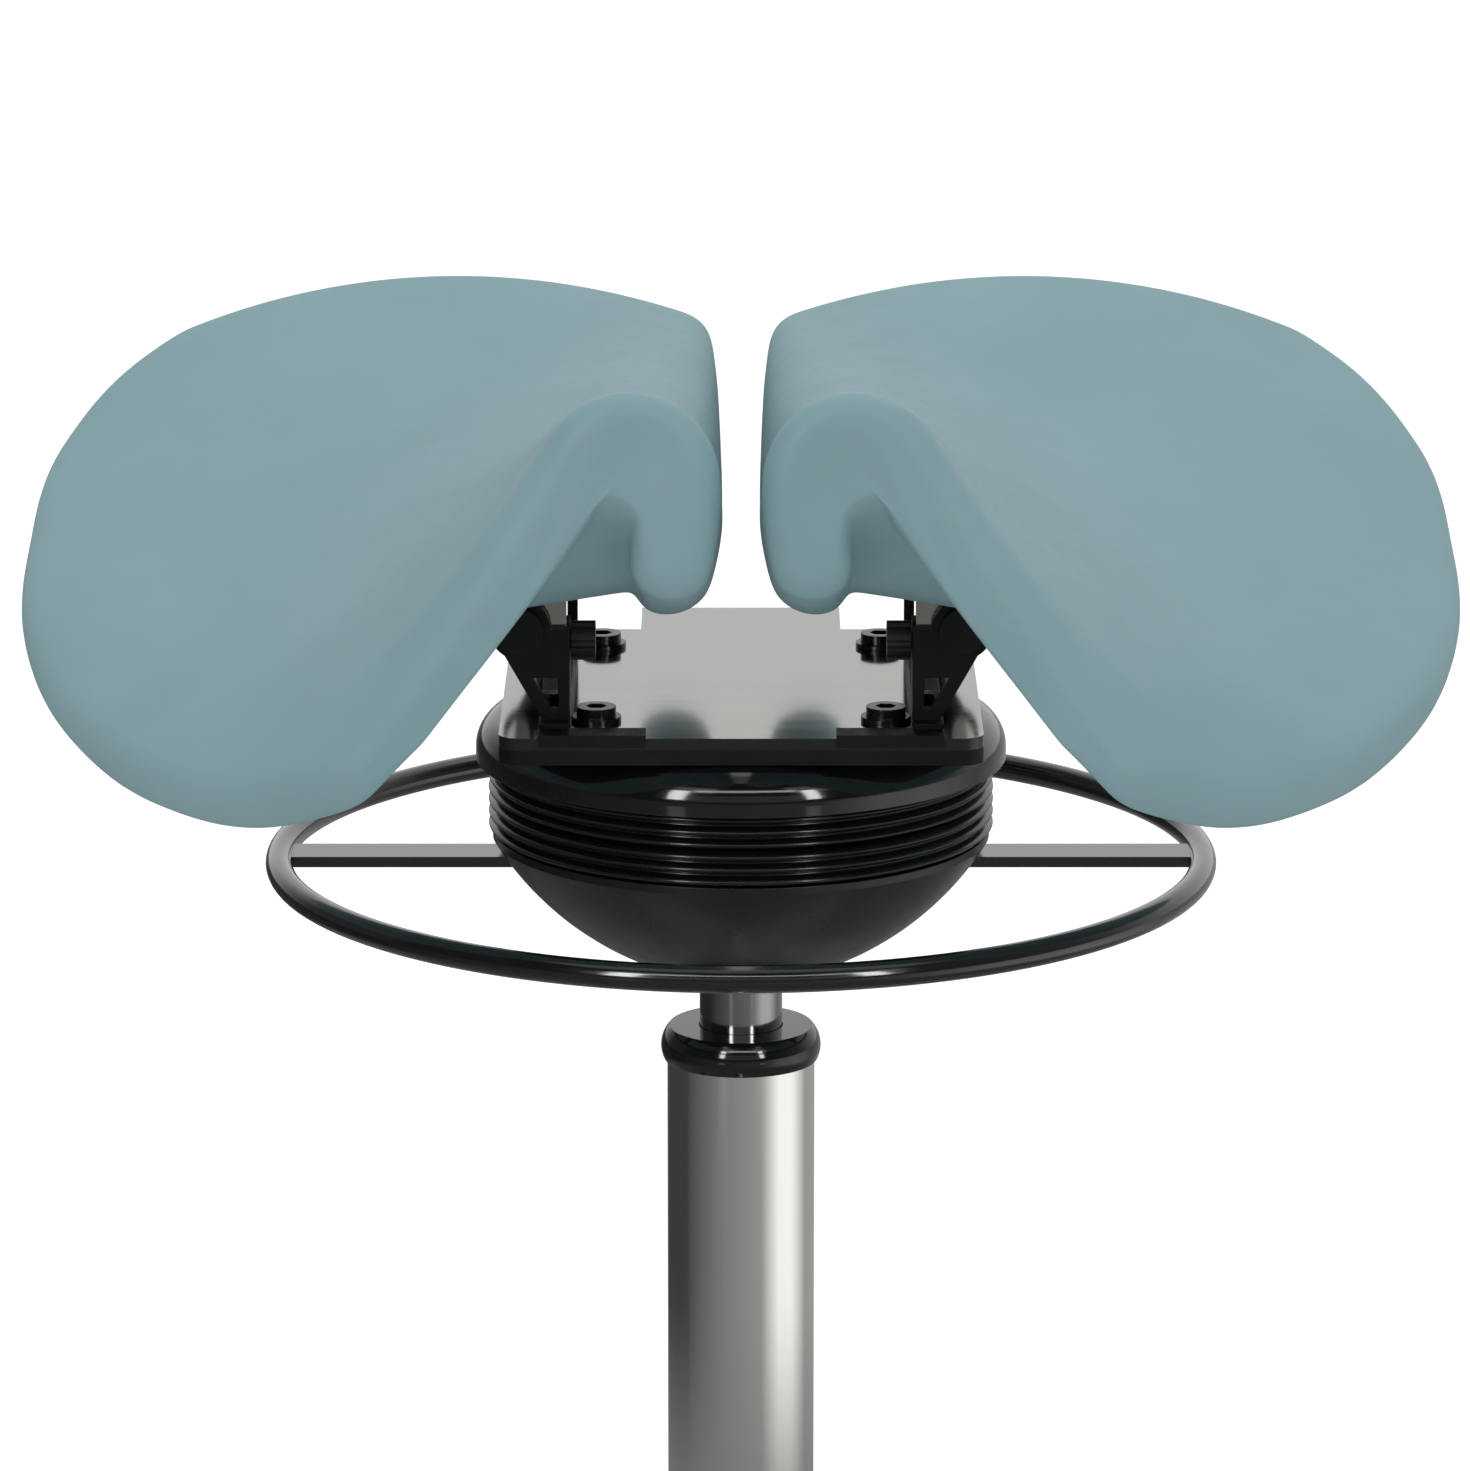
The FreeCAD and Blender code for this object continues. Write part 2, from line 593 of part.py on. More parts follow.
def bowl():
    bottom_in = BOWL_Z + BOWL_WALL
    shell = turned(
        (CYL_R + SIDE_GAP, BOWL_Z),
        (BOWL_FLOOR_R, BOWL_Z),
        ((BOWL_BELLY_R, BOWL_Z + BOWL_BELLY_H), (BOWL_RIM_R, BOWL_RIM_Z - BOWL_WALL)),
        (BOWL_RIM_R, BOWL_RIM_Z),
        (BOWL_RIM_IN_R, BOWL_RIM_Z),
        (BOWL_RIM_IN_R, BOWL_RIM_Z - BOWL_WALL),
        ((BOWL_BELLY_R - BOWL_WALL, bottom_in + BOWL_BELLY_H), (BOWL_FLOOR_R, bottom_in)),
        (CYL_R + SIDE_GAP, bottom_in),
    )
    half = SPOKE_W / 2 + SLOT_SIDE
    low = SPOKE_Z - RING_PRESS - SLOT_SIDE
    high = SPOKE_Z + SPOKE_T + AIR
    slot = box(BOWL_BELLY_R, BOWL_RIM_R, -half, half, low, high)
    return shell.cut(slot).cut(mirrored(slot))


def fork_screw_places():
    return [(x, y) for x in (FORK_SCREW_X0, FORK_SCREW_X1) for y in (-FORK_SCREW_Y, FORK_SCREW_Y)]


def bowl_hub():
    slope = (CYL_R - CYL_TAPER_TOP_R) / CYL_TAPER_LENGTH
    wide = CYL_TAPER_TOP_R + slope * HUB_BLOCK_H + FIXED_FIT
    hub = disc(HUB_BLOCK_R, HUB_BLOCK_Z, CYL_TOP_Z)
    hub = hub.cut(Part.makeCone(wide, CYL_TAPER_TOP_R + FIXED_FIT, HUB_BLOCK_H, V(0, 0, HUB_BLOCK_Z)))
    for x, y in fork_screw_places():
        hub = hub.cut(disc(FORK_SCREW_R + FIXED_FIT, CYL_TOP_Z - FORK_SCREW_DEPTH, CYL_TOP_Z, x, y))
    return hub


def height_ring():
    return Part.makeTorus(RING_R - RING_ROD_R, RING_ROD_R, V(0, 0, RING_Z), UP)


def ring_spoke():
    half = SPOKE_W / 2
    spoke = box(SPOKE_INNER_X, RING_R - RING_ROD_R, -half, half, SPOKE_Z, SPOKE_Z + SPOKE_T)
    around = Part.makeTorus(RING_R - RING_ROD_R, RING_ROD_R + FIXED_FIT, V(0, 0, RING_Z), UP)
    return spoke.cut(around)


def ring_yoke():
    tube = sleeve(YOKE_R + YOKE_WALL, YOKE_R, YOKE_Z, SPOKE_Z)
    flange = sleeve(YOKE_FLANGE_R, YOKE_R, SPOKE_Z - YOKE_FLANGE_T, SPOKE_Z)
    inner = SPOKE_W / 2 + AIR
    outer = inner + PUSHER_WALL
    end = PUSHER_X + PUSHER_LENGTH
    under = LEVER_TOP_Z + PUSH_GAP
    bridge = box(PUSHER_X, end, -outer, outer, SPOKE_Z, under + PUSHER_WALL)
    bridge = bridge.cut(box(PUSHER_X, end, -inner, inner, SPOKE_Z, under))
    return joined(tube, flange, bridge)


def ring_return_spring():
    return sleeve(YOKE_R + SPRING_WALL + AIR, YOKE_R + AIR, HUB_BLOCK_Z, YOKE_Z)


def valve_lever():
    middle = LEVER_Z + LEVER_T / 2
    half = LEVER_W / 2
    bar = box(LEVER_PIVOT_X, LEVER_END_X, -half, half, LEVER_Z, LEVER_TOP_Z)
    half_boss = FORK_LEG_IN_Y - AIR
    boss = bar_y(LEVER_BOSS_R, -half_boss, half_boss, LEVER_PIVOT_X, middle)
    bore = bar_y(LEVER_PIN_R + RUN_FIT, -half_boss, half_boss, LEVER_PIVOT_X, middle)
    return joined(bar, boss).cut(bore)


def lever_pin():
    return bar_y(LEVER_PIN_R, -FORK_LUG_OUT_Y, FORK_LUG_OUT_Y, LEVER_PIVOT_X, LEVER_Z + LEVER_T / 2)


# Swing unit

def swing_fork():
    base = disc(FORK_DISC_R, FORK_DISC_Z, FORK_TOP_Z)
    pieces = []
    for side in (-1, 1):
        near, far = sorted((side * FORK_LEG_IN_Y, side * FORK_LEG_OUT_Y))
        pieces.append(box(FORK_LEG_X0, FORK_LEG_X1, near, far, CYL_TOP_Z, FORK_DISC_Z))
        near, far = sorted((side * FORK_LEG_IN_Y, side * FORK_LUG_OUT_Y))
        pieces.append(bar_y(LEVER_BOSS_R, near, far, LEVER_PIVOT_X, LEVER_Z + LEVER_T / 2))
        near, far = sorted((side * EAR_IN, side * (EAR_IN + EAR_T)))
        pieces.append(box(near, far, -EAR_R, EAR_R, FORK_TOP_Z, CROSS_Z))
        pieces.append(bar_x(EAR_R, near, far, 0, CROSS_Z))
    fork = joined(base, *pieces)
    reach = EAR_IN + EAR_T
    fork = fork.cut(bar_x(CROSS_PIN_R + RUN_FIT, -reach, reach, 0, CROSS_Z))
    fork = fork.cut(bar_y(LEVER_PIN_R + FIXED_FIT, -reach, reach, LEVER_PIVOT_X, LEVER_Z + LEVER_T / 2))
    for x, y in fork_screw_places():
        fork = fork.cut(disc(FORK_SCREW_R + FIXED_FIT, CYL_TOP_Z, FORK_TOP_Z, x, y))
    return fork


def fork_screws():
    screws = []
    for x, y in fork_screw_places():
        shank = disc(FORK_SCREW_R, CYL_TOP_Z - FORK_SCREW_DEPTH, FORK_TOP_Z, x, y)
        head = disc(FORK_SCREW_HEAD_R, FORK_TOP_Z, FORK_TOP_Z + FORK_SCREW_HEAD_H, x, y)
        screws.append(joined(shank, head))
    return screws


def swing_cross():
    ball = Part.makeSphere(CROSS_BALL_R, V(0, 0, CROSS_Z))
    along_x = bar_x(CROSS_PIN_R, -CROSS_PIN_REACH, CROSS_PIN_REACH, 0, CROSS_Z)
    along_y = bar_y(CROSS_PIN_R, -CROSS_PIN_REACH, CROSS_PIN_REACH, 0, CROSS_Z)
    return joined(ball, along_x, along_y)


def swing_clevis():
    base_z = CARRIER_Z - CLEVIS_DISC_T
    pieces = []
    for side in (-1, 1):
        near, far = sorted((side * EAR_IN, side * (EAR_IN + EAR_T)))
        pieces.append(box(-EAR_R, EAR_R, near, far, CROSS_Z, base_z))
        pieces.append(bar_y(EAR_R, near, far, 0, CROSS_Z))
    clevis = joined(disc(CLEVIS_DISC_R, base_z, CARRIER_Z), *pieces)
    reach = EAR_IN + EAR_T
    return clevis.cut(bar_y(CROSS_PIN_R + RUN_FIT, -reach, reach, 0, CROSS_Z))


def swing_rubber():
    return sleeve(RUBBER_OUT_R, RUBBER_IN_R, FORK_TOP_Z, CARRIER_Z - COVER_WALL)


def bellows():
    """Ribbed rubber skin: each rib is a ramp, a crest, a ramp and a valley."""
    pitch = BELLOWS_H / BELLOWS_RIBS
    rings = []
    for rib in range(BELLOWS_RIBS):
        foot = BOWL_RIM_Z + rib * pitch
        for share, r in ((0.0, BELLOWS_VALLEY_R), (RIB_RAMP, BELLOWS_CREST_R),
                         (1 - 2 * RIB_RAMP, BELLOWS_CREST_R), (1 - RIB_RAMP, BELLOWS_VALLEY_R)):
            rings.append((r, foot + share * pitch))
    rings.append((BELLOWS_VALLEY_R, COVER_Z))
    wires = []
    for r, z in rings:
        circle = Part.Circle(V(0, 0, z), UP, r)
        wires.append(Part.Wire([circle.toShape()]))
    skin = Part.makeLoft(wires, True, True)
    return skin.cut(disc(BELLOWS_BORE_R, BOWL_RIM_Z, COVER_Z))


def top_cover():
    outer = (COVER_R - COVER_ROUND_R, CARRIER_Z - COVER_ROUND_R)
    wall_in = COVER_R - COVER_WALL
    top_in = CARRIER_Z - COVER_WALL
    inner = (wall_in - COVER_INNER_ROUND_R, top_in - COVER_INNER_ROUND_R)
    hole = CLEVIS_DISC_R + SIDE_GAP
    cover = turned(
        (hole, CARRIER_Z),
        (outer[0], CARRIER_Z),
        (corner(outer, COVER_ROUND_R, 45), (COVER_R, outer[1])),
        (COVER_R, COVER_Z),
        (BELLOWS_BORE_R, COVER_Z),
        (BELLOWS_BORE_R, COVER_Z + COVER_LIP_T),
        (wall_in, COVER_Z + COVER_LIP_T),
        (wall_in, inner[1]),
        (corner(inner, COVER_INNER_ROUND_R, 45), (inner[0], top_in)),
        (hole, top_in),
    )
    return with_bolt_holes(cover, top_in, CARRIER_Z)


# Plates and bolts

def bolt_places():
    return [(x, y) for x in (-BOLT_X, BOLT_X) for y in (-BOLT_Y, BOLT_Y)]


def with_bolt_holes(shape, z0, z1):
    for x, y in bolt_places():
        shape = shape.cut(disc(BOLT_R + FIXED_FIT, z0, z1, x, y))
    return shape


def rounded_plate(z0, z1):
    half_x = PLATE_W / 2
    half_y = PLATE_DEPTH / 2
    r = PLATE_CORNER_R
    flat_x = half_x - r
    flat_y = half_y - r
    return plate(
        z0, z1,
        (-flat_x, -half_y), (flat_x, -half_y),
        (corner((flat_x, -flat_y), r, -45), (half_x, -flat_y)), (half_x, flat_y),
        (corner((flat_x, flat_y), r, 45), (flat_x, half_y)), (-flat_x, half_y),
        (corner((-flat_x, flat_y), r, 135), (-half_x, flat_y)), (-half_x, -flat_y),
        (corner((-flat_x, -flat_y), r, 225), (-flat_x, -half_y)),
    )


def with_bracket_holes(shape, z0, z1):
    for x, y in bracket_screw_places():
        shape = shape.cut(disc(BRACKET_SCREW_R + FIXED_FIT, z0, z1, x, y))
    return shape


def carrier_plate():
    return with_bolt_holes(rounded_plate(CARRIER_Z, SEAT_PLATE_Z), CARRIER_Z, SEAT_PLATE_Z)


def seat_plate():
    tab = box(-TAB_W / 2, TAB_W / 2, 0, PLATE_DEPTH / 2 + TAB_LENGTH, SEAT_PLATE_Z, PLATE_TOP_Z)
    flat = joined(rounded_plate(SEAT_PLATE_Z, PLATE_TOP_Z), tab)
    flat = with_bolt_holes(flat, SEAT_PLATE_Z, PLATE_TOP_Z)
    return with_bracket_holes(flat, SEAT_PLATE_Z, PLATE_TOP_Z)


def plate_bolts():
    nut_z = CARRIER_Z - COVER_WALL - NUT_H
    flange_z = PLATE_TOP_Z + BOLT_FLANGE_T
    head_z = flange_z + BOLT_HEAD_H
    bolts = []
    for x, y in bolt_places():
        shank = disc(BOLT_R, nut_z - BOLT_TAIL, PLATE_TOP_Z, x, y)
        flange = disc(BOLT_FLANGE_R, PLATE_TOP_Z, flange_z, x, y)
        head = disc(BOLT_HEAD_R, flange_z, head_z, x, y)
        socket = hexagon(BOLT_SOCKET_R, head_z - BOLT_SOCKET_DEPTH, head_z, x, y)
        bolts.append(joined(shank, flange, head).cut(socket))
    return bolts


def hexagon(r, z0, z1, x, y):
    points = [corner((x, y), r, 60 * index) for index in range(6)]
    return plate(z0, z1, *points)


def plate_nuts():
    nut_z = CARRIER_Z - COVER_WALL - NUT_H
    nuts = []
    for x, y in bolt_places():
        nut = hexagon(NUT_R, nut_z, nut_z + NUT_H, x, y)
        nuts.append(nut.cut(disc(BOLT_R + FIXED_FIT, nut_z, nut_z + NUT_H, x, y)))
    return nuts


# Hinge brackets, arms and gap screws

def bracket_screw_places():
    return [(x, y) for x in (-BRACKET_SCREW_X, BRACKET_SCREW_X) for y in (-BRACKET_SCREW_Y, BRACKET_SCREW_Y)]


def bracket_screws():
    screws = []
    for x, y in bracket_screw_places():
        shank = disc(BRACKET_SCREW_R, SEAT_PLATE_Z, BRACKET_TOP_Z, x, y)
        head = disc(BRACKET_SCREW_HEAD_R, BRACKET_TOP_Z, BRACKET_TOP_Z + BRACKET_SCREW_HEAD_H, x, y)
        screws.append(joined(shank, head))
    return screws


def bracket_ear(y0, y1):
    """Ear with two legs from a narrow foot, a plate across their tops and a round boss at the pivot."""
    foot = BRACKET_TOP_Z
    narrow = BRACKET_X0 + EAR_FOOT_W
    boss_out = PIVOT_X + EAR_BOSS_R
    slope = (boss_out - narrow) / (PIVOT_Z - foot)
    blade = upright(y0, y1, (BRACKET_X0, foot), (narrow, foot), (boss_out, PIVOT_Z), (BRACKET_X0, PIVOT_Z))
    low = foot + EAR_WINDOW_EDGE
    high = PIVOT_Z - EAR_WINDOW_DROP
    inner = BRACKET_X0 + EAR_WINDOW_EDGE
    outer = narrow - EAR_LEG_W
    window = upright(y0, y1, (inner, low), (outer + slope * (low - foot), low),
                     (outer + slope * (high - foot), high), (inner, high))
    return blade.fuse(bar_y(EAR_BOSS_R, y0, y1, PIVOT_X, PIVOT_Z)).cut(window)


def right_bracket():
    front = -PLATE_DEPTH / 2
    base = box(BRACKET_X0, BRACKET_X1, -BRACKET_HALF_Y, BRACKET_HALF_Y, PLATE_TOP_Z, BRACKET_TOP_Z)
    foot = box(FOOT_X0, BRACKET_X1, front - FOOT_LIP_T, front + FOOT_DEPTH, PLATE_TOP_Z, PLATE_TOP_Z + FOOT_T)
    lip = box(FOOT_X0, BRACKET_X1, front - FOOT_LIP_T, front, PLATE_TOP_Z - FOOT_LIP_DROP, PLATE_TOP_Z)
    web = box(BRACKET_X0, BRACKET_X0 + WEB_T, -EAR_IN_Y, EAR_IN_Y, BRACKET_TOP_Z, BRACKET_TOP_Z + WEB_H)
    half_nut = NUT_BLOCK_W / 2
    nut_block = box(BRACKET_X0, BRACKET_X0 + NUT_BLOCK_X, GAP_SCREW_Y - half_nut, GAP_SCREW_Y + half_nut,
                    BRACKET_TOP_Z, GAP_SCREW_Z + GAP_SCREW_R + NUT_BLOCK_CAP)
    bracket = joined(base, foot, lip, web, nut_block, bracket_ear(-EAR_FACE_Y, -EAR_IN_Y),
                     bracket_ear(EAR_IN_Y, EAR_FACE_Y))
    bracket = bracket.cut(bar_y(PIVOT_R + FIXED_FIT, -EAR_FACE_Y, EAR_FACE_Y, PIVOT_X, PIVOT_Z))
    bracket = bracket.cut(bar_x(GAP_SCREW_R + RUN_FIT, BRACKET_X0, BRACKET_X0 + NUT_BLOCK_X, GAP_SCREW_Y,
                                GAP_SCREW_Z))
    return with_bracket_holes(bracket, PLATE_TOP_Z, BRACKET_TOP_Z)


def right_pivot_pin():
    pin = bar_y(PIVOT_R, -EAR_FACE_Y, EAR_FACE_Y + PIN_TAIL, PIVOT_X, PIVOT_Z)
    head = bar_y(PIN_HEAD_R, -EAR_FACE_Y - PIN_HEAD_T, -EAR_FACE_Y, PIVOT_X, PIVOT_Z)
    return joined(pin, head)


def pan_screw_places():
    inset = PAN_SCREW_INSET
    places = []
    for x in (ARM_FLANGE_X0 + inset, ARM_FLANGE_X0 + inset + PAN_SCREW_PITCH):
        for y in (-ARM_FLANGE_HALF_Y + inset, ARM_FLANGE_HALF_Y - inset):
            places.append((x, y))
    return places


def with_pan_screw_holes(shape, z0, z1):
    for x, y in pan_screw_places():
        shape = shape.cut(disc(PAN_SCREW_R + FIXED_FIT, z0, z1, x, y))
    return shape


def right_arm():
    half_tube = EAR_IN_Y - AIR
    tube = bar_y(ARM_TUBE_R, -half_tube, half_tube, PIVOT_X, PIVOT_Z)
    half_flange = ARM_FLANGE_HALF_Y
    block = box(ARM_BLOCK_X0, ARM_BLOCK_X1, -half_tube, half_flange, PIVOT_Z + ARM_BLOCK_DROP, ARM_FLANGE_Z)
    flange = box(ARM_FLANGE_X0, ARM_FLANGE_X1, -half_flange, half_flange, ARM_FLANGE_Z, PAN_SEAT_Z)
    cheek = box(CHEEK_X0, CHEEK_X0 + CHEEK_W, -half_tube, -half_tube + CHEEK_T,
                PIVOT_Z - CHEEK_DROP, ARM_FLANGE_Z)
    half_lug = NUT_BLOCK_W / 2
    lug = box(LUG_FACE_X, PIVOT_X, GAP_SCREW_Y - half_lug, GAP_SCREW_Y + half_lug,
              PIVOT_Z - LUG_DROP, PIVOT_Z)
    arm = joined(tube, block, flange, cheek, lug)
    arm = arm.cut(bar_y(PIVOT_R + RUN_FIT, -half_tube, half_tube, PIVOT_X, PIVOT_Z))
    return with_pan_screw_holes(arm, ARM_FLANGE_Z, PAN_SEAT_Z)


def right_gap_screw():
    knob = bar_x(KNOB_R, KNOB_X0, KNOB_X0 + KNOB_T, GAP_SCREW_Y, GAP_SCREW_Z)
    for index in range(KNOB_FLUTES):
        y, z = corner((GAP_SCREW_Y, GAP_SCREW_Z), KNOB_R, index * 360.0 / KNOB_FLUTES)
        knob = knob.cut(bar_x(KNOB_FLUTE_R, KNOB_X0, KNOB_X0 + KNOB_T, y, z))
    shank = bar_x(GAP_SCREW_R, KNOB_X0 + KNOB_T, LUG_FACE_X - GAP_SCREW_PLAY, GAP_SCREW_Y, GAP_SCREW_Z)
    return joined(knob, shank)


# Seat halves

def pad_wing(row, inset):
    """Top of the pad past the fold: start, middle and end of its arc, the end's direction and its centre."""
    gap_side, fold_r, fold_h, fold_angle, edge_x, edge_h = row[1], row[3], row[4], row[5], row[6], row[7]
    fold = (gap_side + fold_r, PAN_SEAT_Z + fold_h)
    angle = math.radians(fold_angle)
    heading = (math.sin(angle), -math.cos(angle))
    start = corner(fold, fold_r, fold_angle)
    chord = (edge_x - start[0], PAN_SEAT_Z + edge_h - start[1])
    turn = math.atan2(heading[0] * chord[1] - heading[1] * chord[0],
                      heading[0] * chord[0] + heading[1] * chord[1])
    radius = math.hypot(*chord) / (2 * math.sin(turn))
    centre = (start[0] - radius * heading[1], start[1] + radius * heading[0])
    end_angle = angle + 2 * turn
    end_out = (math.cos(end_angle), math.sin(end_angle))
    end_on = (end_out[1], -end_out[0])
    # The end is drawn back along the arc, and the whole arc is drawn in, by the inset.
    end_angle -= inset / radius
    reach = -radius - inset
    end = (centre[0] + reach * math.cos(end_angle), centre[1] + reach * math.sin(end_angle))
    begin = corner(fold, fold_r - inset, fold_angle)
    half_way = (angle + end_angle) / 2
    middle = (centre[0] + reach * math.cos(half_way), centre[1] + reach * math.sin(half_way))
    return begin, middle, end, end_on, end_angle, centre, reach


def on_arc(centre, reach, angle):
    return (centre[0] + reach * math.cos(angle), centre[1] + reach * math.sin(angle))


def under_wing(row, inset, skin, edge):
    """Outer, middle and inner point of the wing's underside, raised by a skin and ending an edge short."""
    fold_angle, thick, join_share = row[5], row[8], row[10]
    end_angle, centre, reach = pad_wing(row, inset)[4:7]
    wall = thick - 2 * inset
    begin_angle = math.radians(fold_angle)
    join_angle = begin_angle + join_share * (end_angle - begin_angle)
    inner_reach = reach - wall + skin
    outer_angle = end_angle + edge / reach
    outer_reach = reach - wall * EDGE_SHARE + skin
    outer = on_arc(centre, outer_reach, outer_angle)
    middle = on_arc(centre, (inner_reach + outer_reach) / 2, (outer_angle + join_angle) / 2)
    return outer, middle, on_arc(centre, inner_reach, join_angle)


def pad_section(row, inset, y):
    """Closed section of the pad across the seat, with its inner leg, fold, wing, edge and underside."""
    gap_side, foot_h, fold_r, fold_h, fold_angle = row[1:6]
    begin, middle, end, end_on = pad_wing(row, inset)[:4]
    low_end, low_middle, low_start = under_wing(row, inset, 0.0, 0.0)
    fold = (gap_side + fold_r, PAN_SEAT_Z + fold_h)
    face = gap_side + inset
    leg = gap_side + LEG_OF_PAD_T - inset
    foot = PAN_SEAT_Z + foot_h + inset
    under = PAN_SEAT_Z + row[9] + inset
    mid_edge = ((end[0] + low_end[0]) / 2, (end[1] + low_end[1]) / 2)
    bulge = EDGE_BULGE * math.dist(end, low_end)
    tip = (mid_edge[0] + bulge * end_on[0], mid_edge[1] + bulge * end_on[1])
    half = math.sqrt(0.5)

    def round_edge(a):
        return (mid_edge[0] + half * (a[0] - mid_edge[0]) + half * (tip[0] - mid_edge[0]),
                mid_edge[1] + half * (a[1] - mid_edge[1]) + half * (tip[1] - mid_edge[1]))

    half_leg = (leg - face) / 2
    nose = NOSE_BULGE * half_leg
    tuck = (leg + PAD_TUCK_R, under - PAD_TUCK_R)
    return outline(
        lambda x, z: V(x, y, z),
        (face, foot),
        (face, fold[1]),
        (corner(fold, fold_r - inset, (180 + fold_angle) / 2), begin),
        (middle, end),
        (round_edge(end), tip),
        (round_edge(low_end), low_end),
        (low_middle, low_start),
        (tuck[0], under),
        (corner(tuck, PAD_TUCK_R, 135), (leg, tuck[1])),
        (leg, foot),
        ((face + half_leg + half * half_leg, foot - half * nose), (face + half_leg, foot - nose)),
        ((face + half_leg - half * half_leg, foot - half * nose), (face, foot)),
    )


def between(y):
    """Station worked out between the two rows next to it."""
    for before, after in zip(PAD_STATIONS, PAD_STATIONS[1:]):
        if y <= after[0]:
            share = (y - before[0]) / (after[0] - before[0])
            return tuple(a + share * (b - a) for a, b in zip(before, after))
    return PAD_STATIONS[-1]


def pad_body():
    sections = []
    front = PAD_STATIONS[0][0]
    back = PAD_STATIONS[-1][0]
    for distance, inset in END_ROUND:
        sections.append(pad_section(between(front + distance), inset, front + distance))
    for row in PAD_STATIONS[1:-1]:
        sections.append(pad_section(row, 0.0, row[0]))
    for distance, inset in reversed(END_ROUND):
        sections.append(pad_section(between(back - distance), inset, back - distance))
    return Part.makeLoft(sections, True)


def pan_section(row, clear, y):
    """Section of the pan: a band that follows the underside of the pad."""
    edge = PAN_EDGE - clear
    low_skin = PAN_SKIN - clear
    high_skin = PAN_SKIN + PAN_T + clear
    low_outer, low_middle, low_inner = under_wing(row, 0.0, low_skin, edge)
    high_outer, high_middle, high_inner = under_wing(row, 0.0, high_skin, edge)
    inner = row[1] + LEG_OF_PAD_T + PAD_TUCK_R + PAN_INNER - clear
    under = PAN_SEAT_Z + row[9]
    return outline(
        lambda x, z: V(x, y, z),
        (inner, under + low_skin),
        low_inner,
        (low_middle, low_outer),
        high_outer,
        (high_middle, high_inner),
        (inner, under + high_skin),
    )


def pan_body(clear):
    rows = PAD_STATIONS[1:-1]
    sections = []
    for row in rows:
        y = row[0]
        if row is rows[0]:
            y -= clear
        if row is rows[-1]:
            y += clear
        sections.append(pan_section(row, clear, y))
    return Part.makeLoft(sections, True)


def pan_block(clear):
    x0 = ARM_FLANGE_X0 + PAN_BLOCK_INSET - clear
    x1 = ARM_FLANGE_X1 - PAN_BLOCK_INSET + clear
    half = ARM_FLANGE_HALF_Y - PAN_BLOCK_INSET + clear
    return box(x0, x1, -half, half, PAN_SEAT_Z - clear, PAN_SEAT_Z + PAN_BLOCK_H)


def right_pan():
    pan = pan_body(0.0).fuse(pan_block(0.0))
    return with_pan_screw_holes(pan, PAN_SEAT_Z, PAN_SEAT_Z + PAN_SCREW_DEPTH)


def flange_pocket():
    """Room in the underside of the pad for the arm's flange and what hangs from it."""
    half = ARM_FLANGE_HALF_Y + PAN_POCKET
    return box(ARM_FLANGE_X0 - PAN_POCKET, ARM_BLOCK_X1 + PAN_POCKET, -half, half, PIVOT_Z, PAN_SEAT_Z)


def right_pad():
    return pad_body().cut(pan_body(PAN_CAVITY)).cut(pan_block(PAN_POCKET)).cut(flange_pocket())


def right_pan_screws():
    screws = []
    head_z = ARM_FLANGE_Z - PAN_SCREW_HEAD_H
    for x, y in pan_screw_places():
        shank = disc(PAN_SCREW_R, ARM_FLANGE_Z, PAN_SEAT_Z + PAN_SCREW_DEPTH, x, y)
        head = disc(PAN_SCREW_HEAD_R, head_z, ARM_FLANGE_Z, x, y)
        screws.append(joined(shank, head))
    return screws


def save_pair(name, *solids):
    save("right_" + name, *solids)
    save("left_" + name, *[mirrored(solid) for solid in solids])


os.makedirs("parts", exist_ok=True)

save("star_base", star_base())
save("caster_stems", *[at_caster(caster_stem(), index) for index in range(LEG_COUNT)])
wheel = caster_wheel()
other_wheel = wheel.mirror(ORIGIN, V(0, 1, 0))
for index in range(LEG_COUNT):
    number = str(index + 1)
    save("caster_hood_" + number, at_caster(caster_hood(), index))
    save("caster_axle_" + number, at_caster(caster_axle(), index))
    save("caster_wheels_" + number, at_caster(wheel, index), at_caster(other_wheel, index))

save("outer_column", outer_column())
save("column_collar", column_collar())
save("guide_sleeve", guide_sleeve())
save("lower_bearing_washer", bearing_washer(COLUMN_FLOOR_Z))
save("bearing_race", bearing_washer(UPPER_WASHER_Z), *bearing_balls())
save("piston_rod", piston_rod())
save("rod_clip", rod_clip())
save("rod_buffer", rod_buffer())
save("gas_cylinder", gas_cylinder())
save("valve_pin", valve_pin())

save("bowl", bowl())
save("bowl_hub", bowl_hub())
save("height_ring", height_ring())
spoke = ring_spoke()
save("ring_spokes", spoke, mirrored(spoke))
save("ring_yoke", ring_yoke())
save("ring_return_spring", ring_return_spring())
save("valve_lever", valve_lever())
save("lever_pin", lever_pin())

save("swing_fork", swing_fork())
save("fork_screws", *fork_screws())
save("swing_cross", swing_cross())
save("swing_clevis", swing_clevis())
save("swing_rubber", swing_rubber())
save("bellows", bellows())
save("top_cover", top_cover())

save("carrier_plate", carrier_plate())
save("seat_plate", seat_plate())
save("plate_bolts", *plate_bolts(), *plate_nuts())
save("bracket_screws", *bracket_screws())

save_pair("hinge_bracket", right_bracket())
save_pair("pivot_pin", right_pivot_pin())
save_pair("seat_arm", right_arm())
save_pair("gap_screw", right_gap_screw())
save_pair("seat_pan", right_pan())
save_pair("seat_pad", right_pad())
save_pair("pan_screws", *right_pan_screws())
